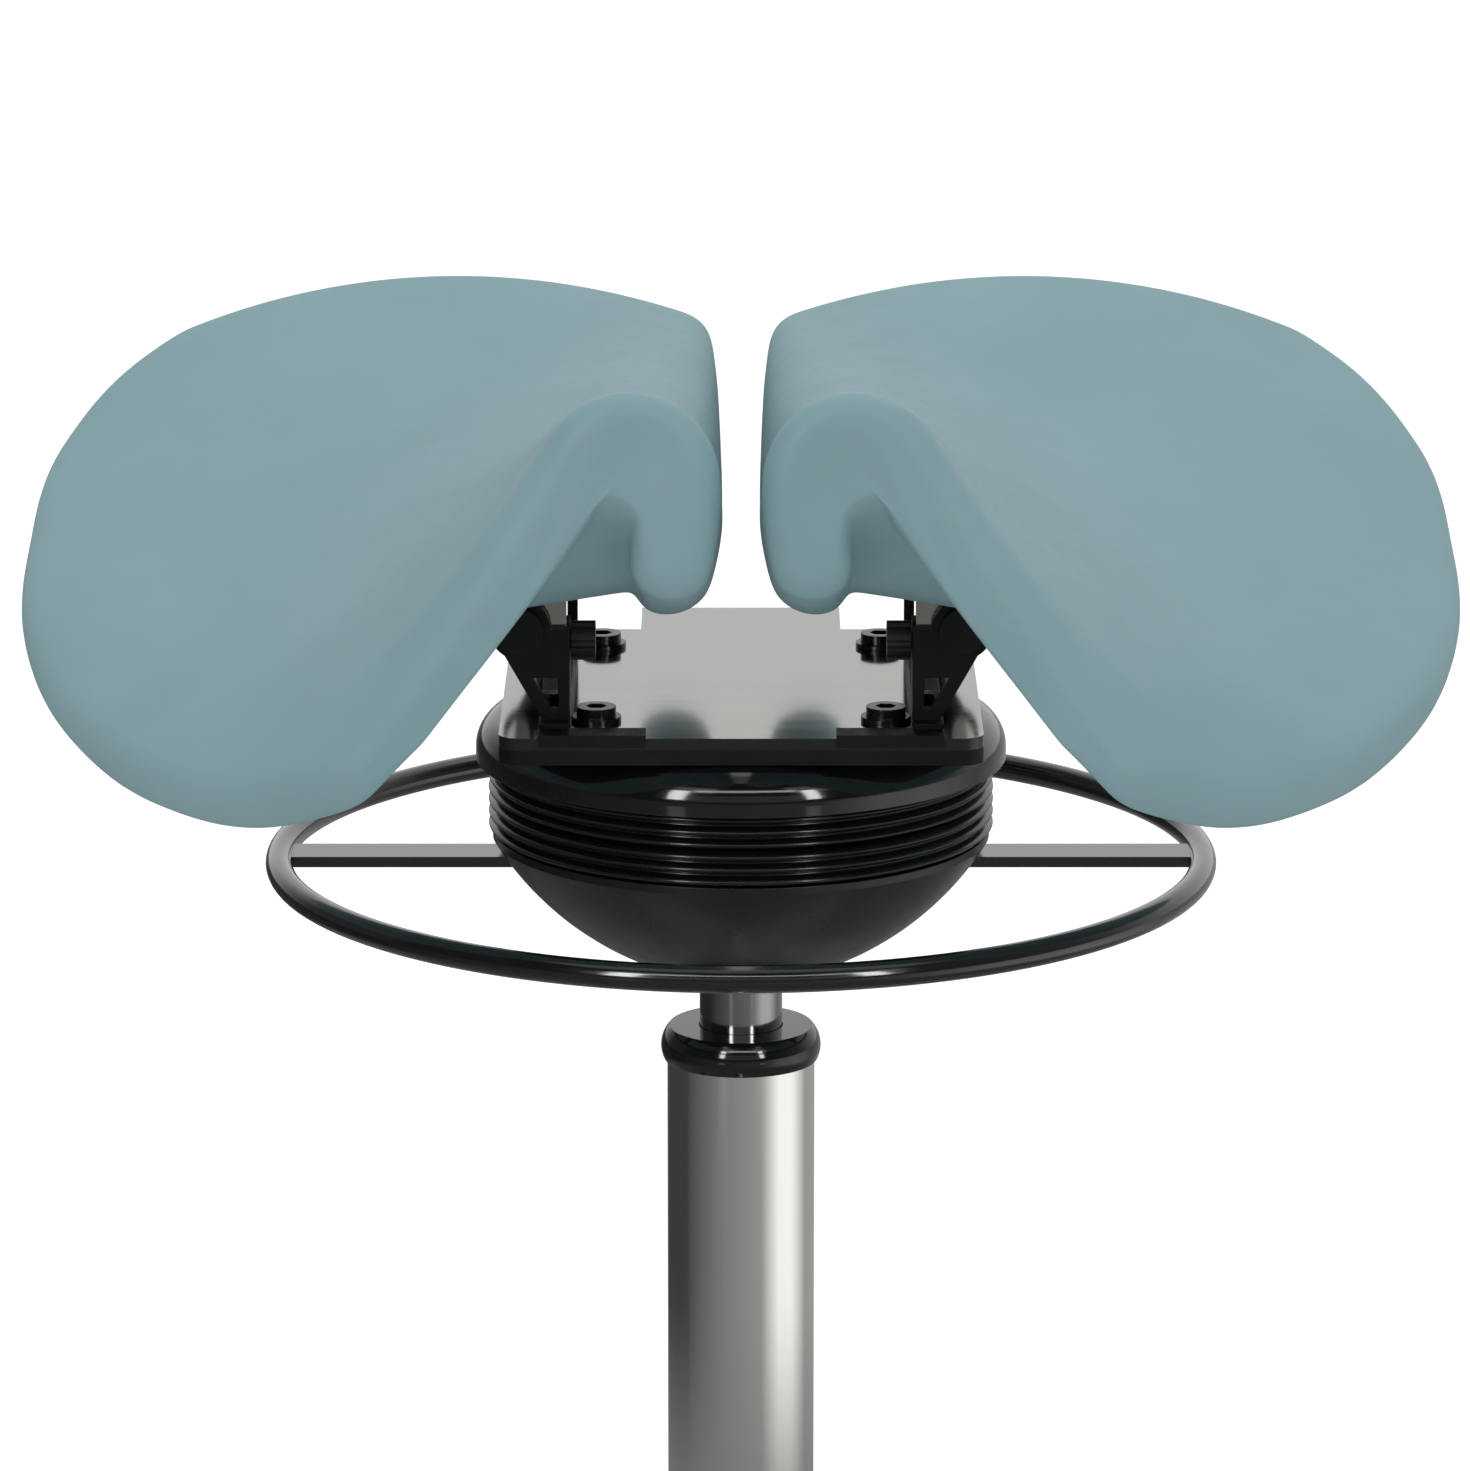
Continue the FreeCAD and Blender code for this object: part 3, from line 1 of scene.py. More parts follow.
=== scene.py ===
# %% [markdown]
# # Dressing a split-seat saddle stool
#
# The stool is a castered star base, a chrome gas-lift column, a black swing unit under a ribbed
# rubber bellows, and a seat in two upholstered halves. The CAD frame already holds the true sizes,
# the bodies and the joints, so this lesson only adds what CAD leaves plain: the soft pads, the
# rubber, the finishes, the light and the camera. All lengths are metres in the CAD's own frame,
# with the front at -Y and up at +Z.

# %% Load the frame
import json
import math

import bmesh
import bpy
import numpy as np
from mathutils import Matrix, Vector


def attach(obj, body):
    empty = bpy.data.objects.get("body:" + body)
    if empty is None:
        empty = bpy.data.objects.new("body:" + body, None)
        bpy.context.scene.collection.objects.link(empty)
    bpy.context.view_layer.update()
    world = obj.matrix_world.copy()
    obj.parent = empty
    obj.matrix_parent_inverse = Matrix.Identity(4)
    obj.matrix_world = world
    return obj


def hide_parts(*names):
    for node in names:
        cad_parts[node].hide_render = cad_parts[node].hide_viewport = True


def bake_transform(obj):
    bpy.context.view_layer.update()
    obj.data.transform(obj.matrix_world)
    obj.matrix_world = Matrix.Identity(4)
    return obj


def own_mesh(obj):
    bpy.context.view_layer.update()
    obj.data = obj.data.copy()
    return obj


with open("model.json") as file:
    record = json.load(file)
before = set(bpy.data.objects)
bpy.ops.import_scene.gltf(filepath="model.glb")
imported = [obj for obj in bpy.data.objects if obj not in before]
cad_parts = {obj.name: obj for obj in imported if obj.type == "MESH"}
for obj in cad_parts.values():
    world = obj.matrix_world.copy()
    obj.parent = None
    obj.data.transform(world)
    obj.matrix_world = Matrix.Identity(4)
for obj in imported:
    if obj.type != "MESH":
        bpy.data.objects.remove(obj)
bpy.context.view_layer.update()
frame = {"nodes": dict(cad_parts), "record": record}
nodes = frame["nodes"]
MM = 0.001

# %% [markdown]
# ## The camera
#
# The photograph was taken from the front, a little above the ring. A camera can be matched by eye,
# but the ring helps: it is a circle, so the flatness of its ellipse gives the angle from above, and
# its width against the column's gives the scale. The long lens keeps the sides nearly parallel.

# %% Camera at the photograph's angle
PHOTO_HEIGHT_PX = 1471
FOCAL_PX = 7354.0
SENSOR = 36.0
CAMERA_PLACE = (-0.002, -2.4, 1.0741)
CAMERA_PITCH = 13.687

scene = bpy.context.scene
lens = bpy.data.cameras.new("photo_lens")
lens.sensor_width = SENSOR
lens.lens = FOCAL_PX * SENSOR / PHOTO_HEIGHT_PX
camera = bpy.data.objects.new("photo_camera", lens)
camera.location = CAMERA_PLACE
camera.rotation_euler = (math.radians(90.0 - CAMERA_PITCH), 0.0, 0.0)
scene.collection.objects.link(camera)
scene.camera = camera
scene.view_settings.view_transform = "Standard"
print("camera:", round(lens.lens, 1), "mm lens,", CAMERA_PITCH, "degrees down")

# %% [markdown]
# ## The studio
#
# The background is plain white. A white room would light the stool from everywhere and flatten it,
# so only what the camera sees directly is pure white: the Light Path node tells a camera's ray from
# the others. Light that falls on the stool comes from an even sky and from lamps. A mirror sees a
# third thing, a ring of walls that is white behind the stool and dark in front and on its left,
# because that is what the chrome column shows.

# %% Node helpers
def new_node(tree, kind, **settings):
    """Adds a node. A setting is one of its own properties, or else the value of a socket."""
    node = tree.nodes.new(kind)
    for key, value in settings.items():
        if hasattr(node, key):
            setattr(node, key, value)
        else:
            node.inputs[key.replace("_", " ")].default_value = value
    return node


def link(tree, start, end):
    tree.links.new(start, end)


def grey(level):
    return (level, level, level, 1.0)


def studio_ring(tree, place, levels):
    """Brightness round the studio. A level is the share of the turn from -X by -Y, and how bright."""
    around = new_node(tree, "ShaderNodeTexGradient", gradient_type="RADIAL")
    ramp = new_node(tree, "ShaderNodeValToRGB")
    stops = ramp.color_ramp.elements
    for share, _ in levels[2:]:
        stops.new(share)
    for stop, (share, level) in zip(stops, levels):
        stop.position = share
        stop.color = grey(level)
    link(tree, place, around.inputs["Vector"])
    link(tree, around.outputs["Fac"], ramp.inputs["Fac"])
    return ramp.outputs["Color"]


def for_rays(tree, kind_of_ray, shader, others):
    """Shows one shader to a kind of ray, and another shader to the others."""
    mix = new_node(tree, "ShaderNodeMixShader")
    link(tree, kind_of_ray, mix.inputs["Fac"])
    link(tree, others, mix.inputs[1])
    link(tree, shader, mix.inputs[2])
    return mix.outputs["Shader"]


# %% World
SKY_LIGHT = 0.72
PLAIN_WHITE = 1.0
WALLS = ((0.0, 0.06), (0.12, 0.04), (0.36, 0.04), (0.5, 0.2),
         (0.64, 0.85), (0.8, 0.85), (0.9, 0.12))

world = bpy.data.worlds.new("studio")
scene.world = world
world.use_nodes = True
sky = world.node_tree
sky.nodes.clear()
direction = new_node(sky, "ShaderNodeTexCoord")
rays = new_node(sky, "ShaderNodeLightPath")
even = new_node(sky, "ShaderNodeBackground", Color=grey(PLAIN_WHITE), Strength=SKY_LIGHT)
mirrored = new_node(sky, "ShaderNodeBackground", Strength=1.0)
white = new_node(sky, "ShaderNodeBackground", Color=grey(PLAIN_WHITE), Strength=1.0)
out = new_node(sky, "ShaderNodeOutputWorld")
link(sky, studio_ring(sky, direction.outputs["Generated"], WALLS), mirrored.inputs["Color"])
shown = for_rays(sky, rays.outputs["Is Glossy Ray"], mirrored.outputs["Background"],
                 even.outputs["Background"])
shown = for_rays(sky, rays.outputs["Is Camera Ray"], white.outputs["Background"], shown)
link(sky, shown, out.inputs["Surface"])
print("world:", len(WALLS), "stops round the studio")

# %% [markdown]
# ### The lamps
#
# Studio light is a few large soft sources. One softbox overhead and two in front shape the cloth.
# The other lamps are there for the hard pieces. A gloss black cover is seen only by what it mirrors,
# so a bar and two upright strips in front draw its highlights, a dim pair near the floor does the same
# for what faces down, and a dim card is what the steel plate mirrors when it is seen from behind.
# They are kept out of diffuse light, because on the cloth they would wash out the soft shading. A
# lamp could also be a glowing plane, but an area lamp gives less noise.

# %% Lamps
LAMPS = (
    # name, place, width and height, watts, lights the cloth as well
    ("overhead_softbox", (0.0, 0.1, 2.5), (2.4, 2.4), 11.0, True),
    ("left_front_softbox", (-0.75, -1.85, 2.0), (0.7, 0.7), 1.5, True),
    ("right_front_softbox", (1.06, -1.7, 2.0), (0.7, 0.7), 1.5, True),
    ("front_card", (0.0, -2.3, 0.98), (2.4, 0.8), 2.1, False),
    ("front_bar", (0.05, -1.75, 1.75), (1.5, 0.2), 5.0, False),
    ("left_strip", (-0.72, -1.40, 1.05), (0.20, 0.80), 7.0, False),
    ("right_strip", (0.80, -1.36, 1.05), (0.17, 0.80), 6.0, False),
    ("left_low_strip", (-0.72, -1.40, 0.055), (0.20, 0.09), 0.1, False),
    ("right_low_strip", (0.80, -1.36, 0.055), (0.17, 0.09), 0.085, False),
)
LAMP_AIM = Vector((0.0, 0.0, 0.5))

for name, place, (width, height), watts, lights_cloth in LAMPS:
    lamp = bpy.data.lights.new(name, "AREA")
    lamp.shape = "RECTANGLE"
    lamp.size, lamp.size_y = width, height
    lamp.energy = watts
    holder = bpy.data.objects.new(name, lamp)
    holder.location = place
    holder.rotation_euler = (LAMP_AIM - Vector(place)).to_track_quat("-Z", "Y").to_euler()
    holder.visible_camera = False
    holder.visible_diffuse = lights_cloth
    scene.collection.objects.link(holder)
print("lamps:", ", ".join(row[0] for row in LAMPS))

# %% [markdown]
# ### The floor
#
# The stool stands on white paper. In a studio the sheet is swept up behind to make the backdrop. A
# large flat sheet is enough here, because the world beyond it is white as well. For the camera the
# paper glows a little, so that it stays white and still keeps the stool's shadow. A mirror sees it
# grey near the stool, and further out it sees the studio's flags, one of them bright on the right.

# %% Floor
FLOOR_HALF = 12.0
PAPER_COLOUR = 0.9
PAPER_ROUGHNESS = 0.9
PAPER_GLOW = 0.42                       # for the camera alone
NEAR_FLOOR = 0.22                       # what a mirror sees of the paper beside the stool
FLAGS_FROM, FLAGS_FULL = 0.6, 0.9       # distance from the stool at which the flags stand on the floor
FLOOR_FLAGS = ((0.0, 0.07), (0.2, 0.25), (0.34, 0.33), (0.42, 1.1),
               (0.49, 1.1), (0.58, 0.36), (0.72, 0.36), (0.82, 0.05))


def colour_mix(tree):
    """Mix node for colours, given as its factor, its two colours and its result."""
    mix = new_node(tree, "ShaderNodeMix", data_type="RGBA")
    first, second = (socket for socket in mix.inputs if socket.type == "RGBA")
    result = next(socket for socket in mix.outputs if socket.type == "RGBA")
    return mix.inputs["Factor"], first, second, result


def carried_over(tree, value, start, end, low=0.0, high=1.0):
    """Carries a value that runs from start to end over to the range from low to high."""
    mapped = new_node(tree, "ShaderNodeMapRange", From_Min=start, From_Max=end, To_Min=low, To_Max=high)
    link(tree, value, mapped.inputs["Value"])
    return mapped.outputs["Result"]


floor_mesh = bpy.data.meshes.new("floor")
corners = [(x * FLOOR_HALF, y * FLOOR_HALF, 0.0) for x, y in ((-1, -1), (1, -1), (1, 1), (-1, 1))]
floor_mesh.from_pydata(corners, [], [(0, 1, 2, 3)])
floor = bpy.data.objects.new("floor", floor_mesh)
scene.collection.objects.link(floor)
print("floor:", 2 * FLOOR_HALF, "m square")

# %% Paper of the floor
paper = bpy.data.materials.new("white_paper_floor")
paper.use_nodes = True
sheet = paper.node_tree
plain = sheet.nodes["Principled BSDF"]
plain.inputs["Base Color"].default_value = grey(PAPER_COLOUR)
plain.inputs["Roughness"].default_value = PAPER_ROUGHNESS
rays = new_node(sheet, "ShaderNodeLightPath")
spot = new_node(sheet, "ShaderNodeTexCoord").outputs["Object"]
away = new_node(sheet, "ShaderNodeVectorMath", operation="LENGTH")
link(sheet, spot, away.inputs[0])
beyond, near_floor, far_floor, mirrored_floor = colour_mix(sheet)
near_floor.default_value = grey(NEAR_FLOOR)
link(sheet, carried_over(sheet, away.outputs["Value"], FLAGS_FROM, FLAGS_FULL), beyond)
link(sheet, studio_ring(sheet, spot, FLOOR_FLAGS), far_floor)
flags = new_node(sheet, "ShaderNodeEmission", Strength=1.0)
link(sheet, mirrored_floor, flags.inputs["Color"])
glow = new_node(sheet, "ShaderNodeEmission", Color=grey(PLAIN_WHITE), Strength=PAPER_GLOW)
glowing = new_node(sheet, "ShaderNodeAddShader")
link(sheet, plain.outputs["BSDF"], glowing.inputs[0])
link(sheet, glow.outputs["Emission"], glowing.inputs[1])
shown = for_rays(sheet, rays.outputs["Is Glossy Ray"], flags.outputs["Emission"], plain.outputs["BSDF"])
shown = for_rays(sheet, rays.outputs["Is Camera Ray"], glowing.outputs["Shader"], shown)
link(sheet, shown, sheet.nodes["Material Output"].inputs["Surface"])
floor_mesh.materials.append(paper)
print("paper:", len(FLOOR_FLAGS), "stops round the floor")

# %% [markdown]
# ## The finishes
#
# Each finish is a small graph on the Principled shader. A real surface is never one number: paint
# has orange peel, chrome has faint drawing marks, rubber is dusty in its folds. These could be
# painted pictures, but noises laid in object space need no unwrapping, and as they are in metres, a
# grain of half a millimetre really is half a millimetre.

# %% Finish helpers
NOISE_LOW, NOISE_HIGH = 0.3, 0.7        # the useful middle of a noise
RELIEF_STRENGTH = 0.3


def start_finish(name, **values):
    """New material. Each value is set on the Principled shader's own socket."""
    material = bpy.data.materials.new(name)
    material.use_nodes = True
    principled = material.node_tree.nodes["Principled BSDF"]
    for key, value in values.items():
        principled.inputs[key.replace("_", " ")].default_value = value
    return material, material.node_tree, principled


def object_place(tree, stretch=(1.0, 1.0, 1.0)):
    """Place on the piece in metres, stretched where the texture runs along one way."""
    coords = new_node(tree, "ShaderNodeTexCoord")
    mapping = new_node(tree, "ShaderNodeMapping", Scale=stretch)
    link(tree, coords.outputs["Object"], mapping.inputs["Vector"])
    return mapping.outputs["Vector"]


def speckle(tree, place, size_mm, detail=3.0):
    """Noise whose blobs are about size_mm across."""
    noise = new_node(tree, "ShaderNodeTexNoise", Scale=1.0 / (size_mm * MM), Detail=detail)
    link(tree, place, noise.inputs["Vector"])
    return noise.outputs["Fac"]


def patches(tree, place, size_mm, low=0.0, high=1.0):
    """A value that drifts between low and high in patches about size_mm across."""
    return carried_over(tree, speckle(tree, place, size_mm), NOISE_LOW, NOISE_HIGH, low, high)


def mottle(tree, principled, place, size_mm, first, second):
    """Colours the surface with patches of two colours."""
    factor, start, end, colour = colour_mix(tree)
    start.default_value = (*first, 1.0)
    end.default_value = (*second, 1.0)
    link(tree, patches(tree, place, size_mm), factor)
    link(tree, colour, principled.inputs["Base Color"])


def uneven_gloss(tree, principled, place, size_mm, gloss):
    """Makes the roughness drift between two values."""
    link(tree, patches(tree, place, size_mm, *gloss), principled.inputs["Roughness"])


def relief(tree, principled, height, depth_mm, strength=RELIEF_STRENGTH):
    """Bumps the surface by a height texture, and returns the bump."""
    bump = new_node(tree, "ShaderNodeBump", Strength=strength, Distance=depth_mm * MM)
    link(tree, height, bump.inputs["Height"])
    link(tree, bump.outputs["Normal"], principled.inputs["Normal"])
    return bump


# %% [markdown]
# ### Teal upholstery
#
# The cover is smooth coated cloth, dull, with a grain of pebbles about a millimetre across. The mesh
# is far too coarse for such a grain, so a cell texture bumps the surface instead. The colour drifts
# over a few centimetres, as a cover's does where it has been sat on.

# %% Upholstery
TEAL = (0.239, 0.390, 0.425)
TEAL_DEEP = (0.219, 0.364, 0.397)
TEAL_PATCH = 60.0
COVER_GLOSS = (0.52, 0.62)
COVER_GLOSS_PATCH = 9.0
PEBBLE = 1.1
PEBBLE_DEPTH, PEBBLE_STRENGTH = 0.08, 0.35

upholstery, tree, principled = start_finish(
    "teal_upholstery", Specular_IOR_Level=0.3, Sheen_Weight=0.05, Sheen_Roughness=0.5)
place = object_place(tree)
mottle(tree, principled, place, TEAL_PATCH, TEAL, TEAL_DEEP)
uneven_gloss(tree, principled, place, COVER_GLOSS_PATCH, COVER_GLOSS)
pebbles = new_node(tree, "ShaderNodeTexVoronoi", Scale=1.0 / (PEBBLE * MM), feature="SMOOTH_F1")
link(tree, place, pebbles.inputs["Vector"])
relief(tree, principled, pebbles.outputs["Distance"], PEBBLE_DEPTH, PEBBLE_STRENGTH)
print("finish:", upholstery.name)

# %% [markdown]
# ### Rubbed edges
#
# The edge of a real bracket or plate is never perfectly sharp, and hands and cloths rub it paler.
# The CAD meshes stay as they are, so no bevel can be cut. The Bevel node does it in the finish: it
# rounds the normal near an edge, and where that differs from the true normal, the bare colour shows
# in patches.

# %% Rubbed edges
EDGE_ROUND = 0.45                       # how far a sharp edge is softened, in millimetres
EDGE_SAMPLES = 4
WEAR_FROM, WEAR_FULL = 0.99, 0.7        # cosine between the rounded and the true normal
WEAR_PATCH = 5.0


def rubbed_edges(tree, principled, bump, place, bare):
    """Softens the sharp edges of a hard piece and shows a bare colour where hands have rubbed them."""
    rounded = new_node(tree, "ShaderNodeBevel", Radius=EDGE_ROUND * MM, samples=EDGE_SAMPLES)
    facing = new_node(tree, "ShaderNodeNewGeometry")
    same = new_node(tree, "ShaderNodeVectorMath", operation="DOT_PRODUCT")
    patchy = new_node(tree, "ShaderNodeMath", operation="MULTIPLY")
    link(tree, rounded.outputs["Normal"], bump.inputs["Normal"])
    link(tree, rounded.outputs["Normal"], same.inputs[0])
    link(tree, facing.outputs["Normal"], same.inputs[1])
    link(tree, carried_over(tree, same.outputs["Value"], WEAR_FROM, WEAR_FULL), patchy.inputs[0])
    link(tree, patches(tree, place, WEAR_PATCH), patchy.inputs[1])
    colour = principled.inputs["Base Color"]
    worn, whole, rubbed, shown = colour_mix(tree)
    rubbed.default_value = (*bare, 1.0)
    link(tree, patchy.outputs["Value"], worn)
    link(tree, colour.links[0].from_socket, whole)
    link(tree, shown, colour)


# %% [markdown]
# ### Black finishes
#
# Most of the stool is black, and gloss is what tells its pieces apart: a polished cover, a satin
# bowl, dull brackets, a lacquered ring, shiny rubber and dry nylon. They could be eight graphs by
# hand. One helper makes them all, with the depth of the black, the gloss and the grain of the
# surface as its values, so a difference between two of them is easy to read.

# %% Black finishes
RUBBED_BLACK = 5.0                      # how many times paler black is along a rubbed edge
MOTTLED_BLACK = (1.6, 1.6, 1.55)        # how many times paler it is in its patches
BLACK_PATCH, BLACK_GLOSS_PATCH = 14.0, 6.0


def black_finish(name, level, gloss, peel_mm, peel_depth, **values):
    """Black surface with a slight mottle, an uneven gloss and a fine relief."""
    material, tree, principled = start_finish(name, **values)
    place = object_place(tree)
    mottle(tree, principled, place, BLACK_PATCH, (level, level, level),
           tuple(level * paler for paler in MOTTLED_BLACK))
    uneven_gloss(tree, principled, place, BLACK_GLOSS_PATCH, gloss)
    bump = relief(tree, principled, speckle(tree, place, peel_mm), peel_depth)
    rubbed_edges(tree, principled, bump, place, (level * RUBBED_BLACK,) * 3)
    return material


gloss_black = black_finish("gloss_black_moulding", 0.004, (0.08, 0.11), 2.5, 0.008,
                           Coat_Weight=0.2, Coat_Roughness=0.08)
bowl_black = black_finish("satin_black_bowl", 0.004, (0.27, 0.34), 1.5, 0.010)
bracket_black = black_finish("dull_black_bracket", 0.004, (0.42, 0.55), 0.8, 0.012,
                             Specular_IOR_Level=0.22)
ring_black = black_finish("gloss_black_ring", 0.004, (0.12, 0.17), 2.5, 0.008,
                          Coat_Weight=0.6, Coat_Roughness=0.1)
paint_black = black_finish("black_stove_enamel", 0.005, (0.20, 0.28), 0.8, 0.012)
rubber_black = black_finish("black_rubber", 0.004, (0.14, 0.20), 1.2, 0.006)
nylon_black = black_finish("black_nylon", 0.014, (0.38, 0.50), 0.6, 0.03)
tread_grey = black_finish("grey_tread", 0.045, (0.55, 0.68), 0.9, 0.05)
print("finishes:", ", ".join(finish.name for finish in (
    gloss_black, bowl_black, bracket_black, ring_black, paint_black, rubber_black, nylon_black,
    tread_grey)))

# %% [markdown]
# ### Metals
#
# Chrome tubes keep faint marks along their length, and the seat plate is brushed from side to side.
# An anisotropic shader could stand for such marks. A noise that is stretched along one way was
# chosen, because it shows the single marks as well and needs no tangents on the CAD meshes.

# %% Metal finishes
RUBBED_METAL = 1.25                     # how many times paler metal is along a rubbed edge
MOTTLED_METAL = 1.08
METAL_PATCH = 25.0
GLOSS_GRAINS = 4                        # a patch of gloss is as wide as this many marks
EVEN = (1.0, 1.0, 1.0)
ALONG_X = (0.04, 1.0, 1.0)
ALONG_Z = (1.0, 1.0, 0.02)


def paler(colour, times):
    return tuple(min(1.0, level * times) for level in colour)


def metal_finish(name, colour, gloss, grain, grain_mm, grain_depth, **values):
    """Bare metal with marks that run along one way."""
    material, tree, principled = start_finish(name, Metallic=1.0, **values)
    place = object_place(tree, grain)
    mottle(tree, principled, place, METAL_PATCH, colour, paler(colour, MOTTLED_METAL))
    uneven_gloss(tree, principled, place, grain_mm * GLOSS_GRAINS, gloss)
    bump = relief(tree, principled, speckle(tree, place, grain_mm), grain_depth)
    rubbed_edges(tree, principled, bump, place, paler(colour, RUBBED_METAL))
    return material


PLATE = ((0.336, 0.340, 0.314), (0.07, 0.11), ALONG_X, 0.4, 0.002)
chrome = metal_finish("satin_chrome", (0.78, 0.77, 0.74), (0.10, 0.15), ALONG_Z, 0.5, 0.004)
dark_chrome = metal_finish("lift_tube_chrome", (0.30, 0.30, 0.29), (0.10, 0.14), ALONG_Z, 0.5, 0.004)
plate_steel = metal_finish("satin_plate_steel", *PLATE)
plain_steel = metal_finish("plain_steel", (0.56, 0.55, 0.53), (0.28, 0.38), EVEN, 0.6, 0.01)
cast_aluminium = metal_finish("polished_aluminium", (0.80, 0.80, 0.81), (0.16, 0.24), EVEN, 2.0, 0.02)
print("finishes:", ", ".join(finish.name for finish in (
    chrome, dark_chrome, plate_steel, plain_steel, cast_aluminium)))

# %% [markdown]
# ### Stained plywood
#
# The pans inside the pads are plywood, stained black, and hardly seen. A wood texture with rings
# would be wasted there. A noise stretched from front to back gives the run of the veneer.

# %% Black-stained plywood for the hidden pans
VENEER_DARK, VENEER_PALE = (0.010, 0.009, 0.008), (0.022, 0.019, 0.016)
VENEER_RUN = (1.0, 0.08, 1.0)
VENEER_STREAK, VENEER_PORE, PORE_DEPTH = 3.0, 1.0, 0.05

plywood, tree, principled = start_finish("black_stained_plywood", Roughness=0.6)
place = object_place(tree, VENEER_RUN)
mottle(tree, principled, place, VENEER_STREAK, VENEER_DARK, VENEER_PALE)
relief(tree, principled, speckle(tree, place, VENEER_PORE), PORE_DEPTH)
print("finish:", plywood.name)

# %% [markdown]
# ### The seat plate
#
# The plate under the seat is bare on top and painted black on its edges and below. It is one solid,
# so a second material slot would mean a change to its faces. The finish decides by itself: where
# the normal points up it is steel, and elsewhere it is paint.

# %% Plate with a bare top and painted edges
EDGE_PAINT = 0.012
UP_FROM, UP_FULL = 0.55, 0.75           # how far up the normal points where paint ends and steel begins


def painted_edges(material):
    """Black paint wherever the surface doesn't face up."""
    tree = material.node_tree
    principled = tree.nodes["Principled BSDF"]
    facing = new_node(tree, "ShaderNodeNewGeometry")
    split = new_node(tree, "ShaderNodeSeparateXYZ")
    link(tree, facing.outputs["Normal"], split.inputs["Vector"])
    upward = carried_over(tree, split.outputs["Z"], UP_FROM, UP_FULL)
    colour = principled.inputs["Base Color"]
    factor, paint, bare, shown = colour_mix(tree)
    paint.default_value = grey(EDGE_PAINT)
    link(tree, upward, factor)
    link(tree, colour.links[0].from_socket, bare)
    link(tree, shown, colour)
    link(tree, upward, principled.inputs["Metallic"])


seat_plate_finish = metal_finish("satin_plate_painted_edge", *PLATE)
painted_edges(seat_plate_finish)
print("finish:", seat_plate_finish.name)

# %% [markdown]
# ### Which piece gets which finish
#
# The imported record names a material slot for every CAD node. Finishes could be given one by one, but
# a table from slot to finish dresses all of them, and nothing is forgotten. Only the pieces whose
# finish differs from their slot's are then named.

# %% Give each CAD node its finish
FINISH_OF_SLOT = {
    "upholstery": upholstery,
    "pan_board": plywood,
    "plate_steel": plate_steel,
    "steel": plain_steel,
    "black_paint": paint_black,
    "black_gloss": gloss_black,
    "black_rubber": rubber_black,
    "black_nylon": nylon_black,
    "grey_tread": tread_grey,
    "chrome": chrome,
    "aluminium": cast_aluminium,
}
FINISH_OF_NODE = {
    "gas_cylinder": dark_chrome,
    "seat_plate": seat_plate_finish,
    "bowl": bowl_black,
    "height_ring": ring_black,
    "ring_spokes": ring_black,
    "carrier_plate": bracket_black,
    "left_hinge_bracket": bracket_black,
    "right_hinge_bracket": bracket_black,
    "left_pivot_pin": bracket_black,
    "right_pivot_pin": bracket_black,
    "left_pan_screws": bracket_black,
    "right_pan_screws": bracket_black,
}

slot_of_node = {row["node"]: row["material_slot"] for row in frame["record"]["subparts"]}
for name, piece in nodes.items():
    piece.data.materials.clear()
    piece.data.materials.append(FINISH_OF_NODE.get(name, FINISH_OF_SLOT[slot_of_node[name]]))
print("finishes given to", len(nodes), "nodes")

# %% [markdown]
# ## The two pads
#
# Each half of the seat is a thick slab of foam under a smooth cover. Its form is one long bend: an
# inner leg that hangs beside the gap, a fold over the top, and a wing that falls away outwards at the
# front and levels out towards the back. It could be sculpted by hand, but the bend is easier to
# state at a few stations from front to back and to run a smooth skin through them. The slab is made
# a little small and then blown up as cloth, which crowns its faces and rounds its edges like a
# stretched cover does.

# %% Stations of the pad
# Columns: place, gap side, foot of the inner leg, fold radius, fold height, fold angle, outer edge,
# its height, thickness, underside beside the leg, share of the wing where they meet. Millimetres,
# heights above the seat of the pan.
STATIONS = np.array((
    (-150, 7, 25, 29, 54, 31, 128, -37, 27, 46, 0.06),
    (-125, 7, 18.5, 30, 48, 35, 160, -48, 29, 28, 0.2),
    (-90, 7, 9, 30, 39, 44, 194, -47, 30, 8, 0.32),
    (-50, 7, 0, 29, 31, 54, 219, -37, 30, -4, 0.4),
    (0, 7, -3, 27, 28, 66, 235, -21, 30, -3, 0.42),
    (50, 7, -3, 23, 30, 79, 238, -3, 30, -2, 0.42),
    (100, 7.5, -1, 18, 36, 95, 231, 21, 29, 8, 0.45),
    (135, 9, 4, 13, 41, 107, 208, 42, 28, 18, 0.45),
    (150, 10, 8, 11, 42, 112, 188, 53, 26, 24, 0.45),
))


def station_at(y):
    """Row of the table at any place, on a smooth curve through the stations."""
    places = STATIONS[:, 0]
    slopes = np.gradient(STATIONS, places, axis=0)
    right = int(np.clip(np.searchsorted(places, y), 1, len(places) - 1))
    left = right - 1
    span = places[right] - places[left]
    t = (y - places[left]) / span
    ease = 2 * t**3 - 3 * t**2 + 1
    return (ease * STATIONS[left] + (1 - ease) * STATIONS[right]
            + (t**3 - 2 * t**2 + t) * span * slopes[left] + (t**3 - t**2) * span * slopes[right])


print("pad:", len(STATIONS), "stations from", STATIONS[0, 0], "to", STATIONS[-1, 0], "mm")

# %% [markdown]
# ### One section of the slab
#
# A section is a closed loop: up the gap side, over the fold, down the wing, round the outer edge, and
# back underneath to the foot of the leg. Loops drawn by hand would have different numbers of points
# and could not be joined row by row. So each loop is put together from lines and arcs, and then its
# two long sides get the same number of points, evenly apart, at every station.

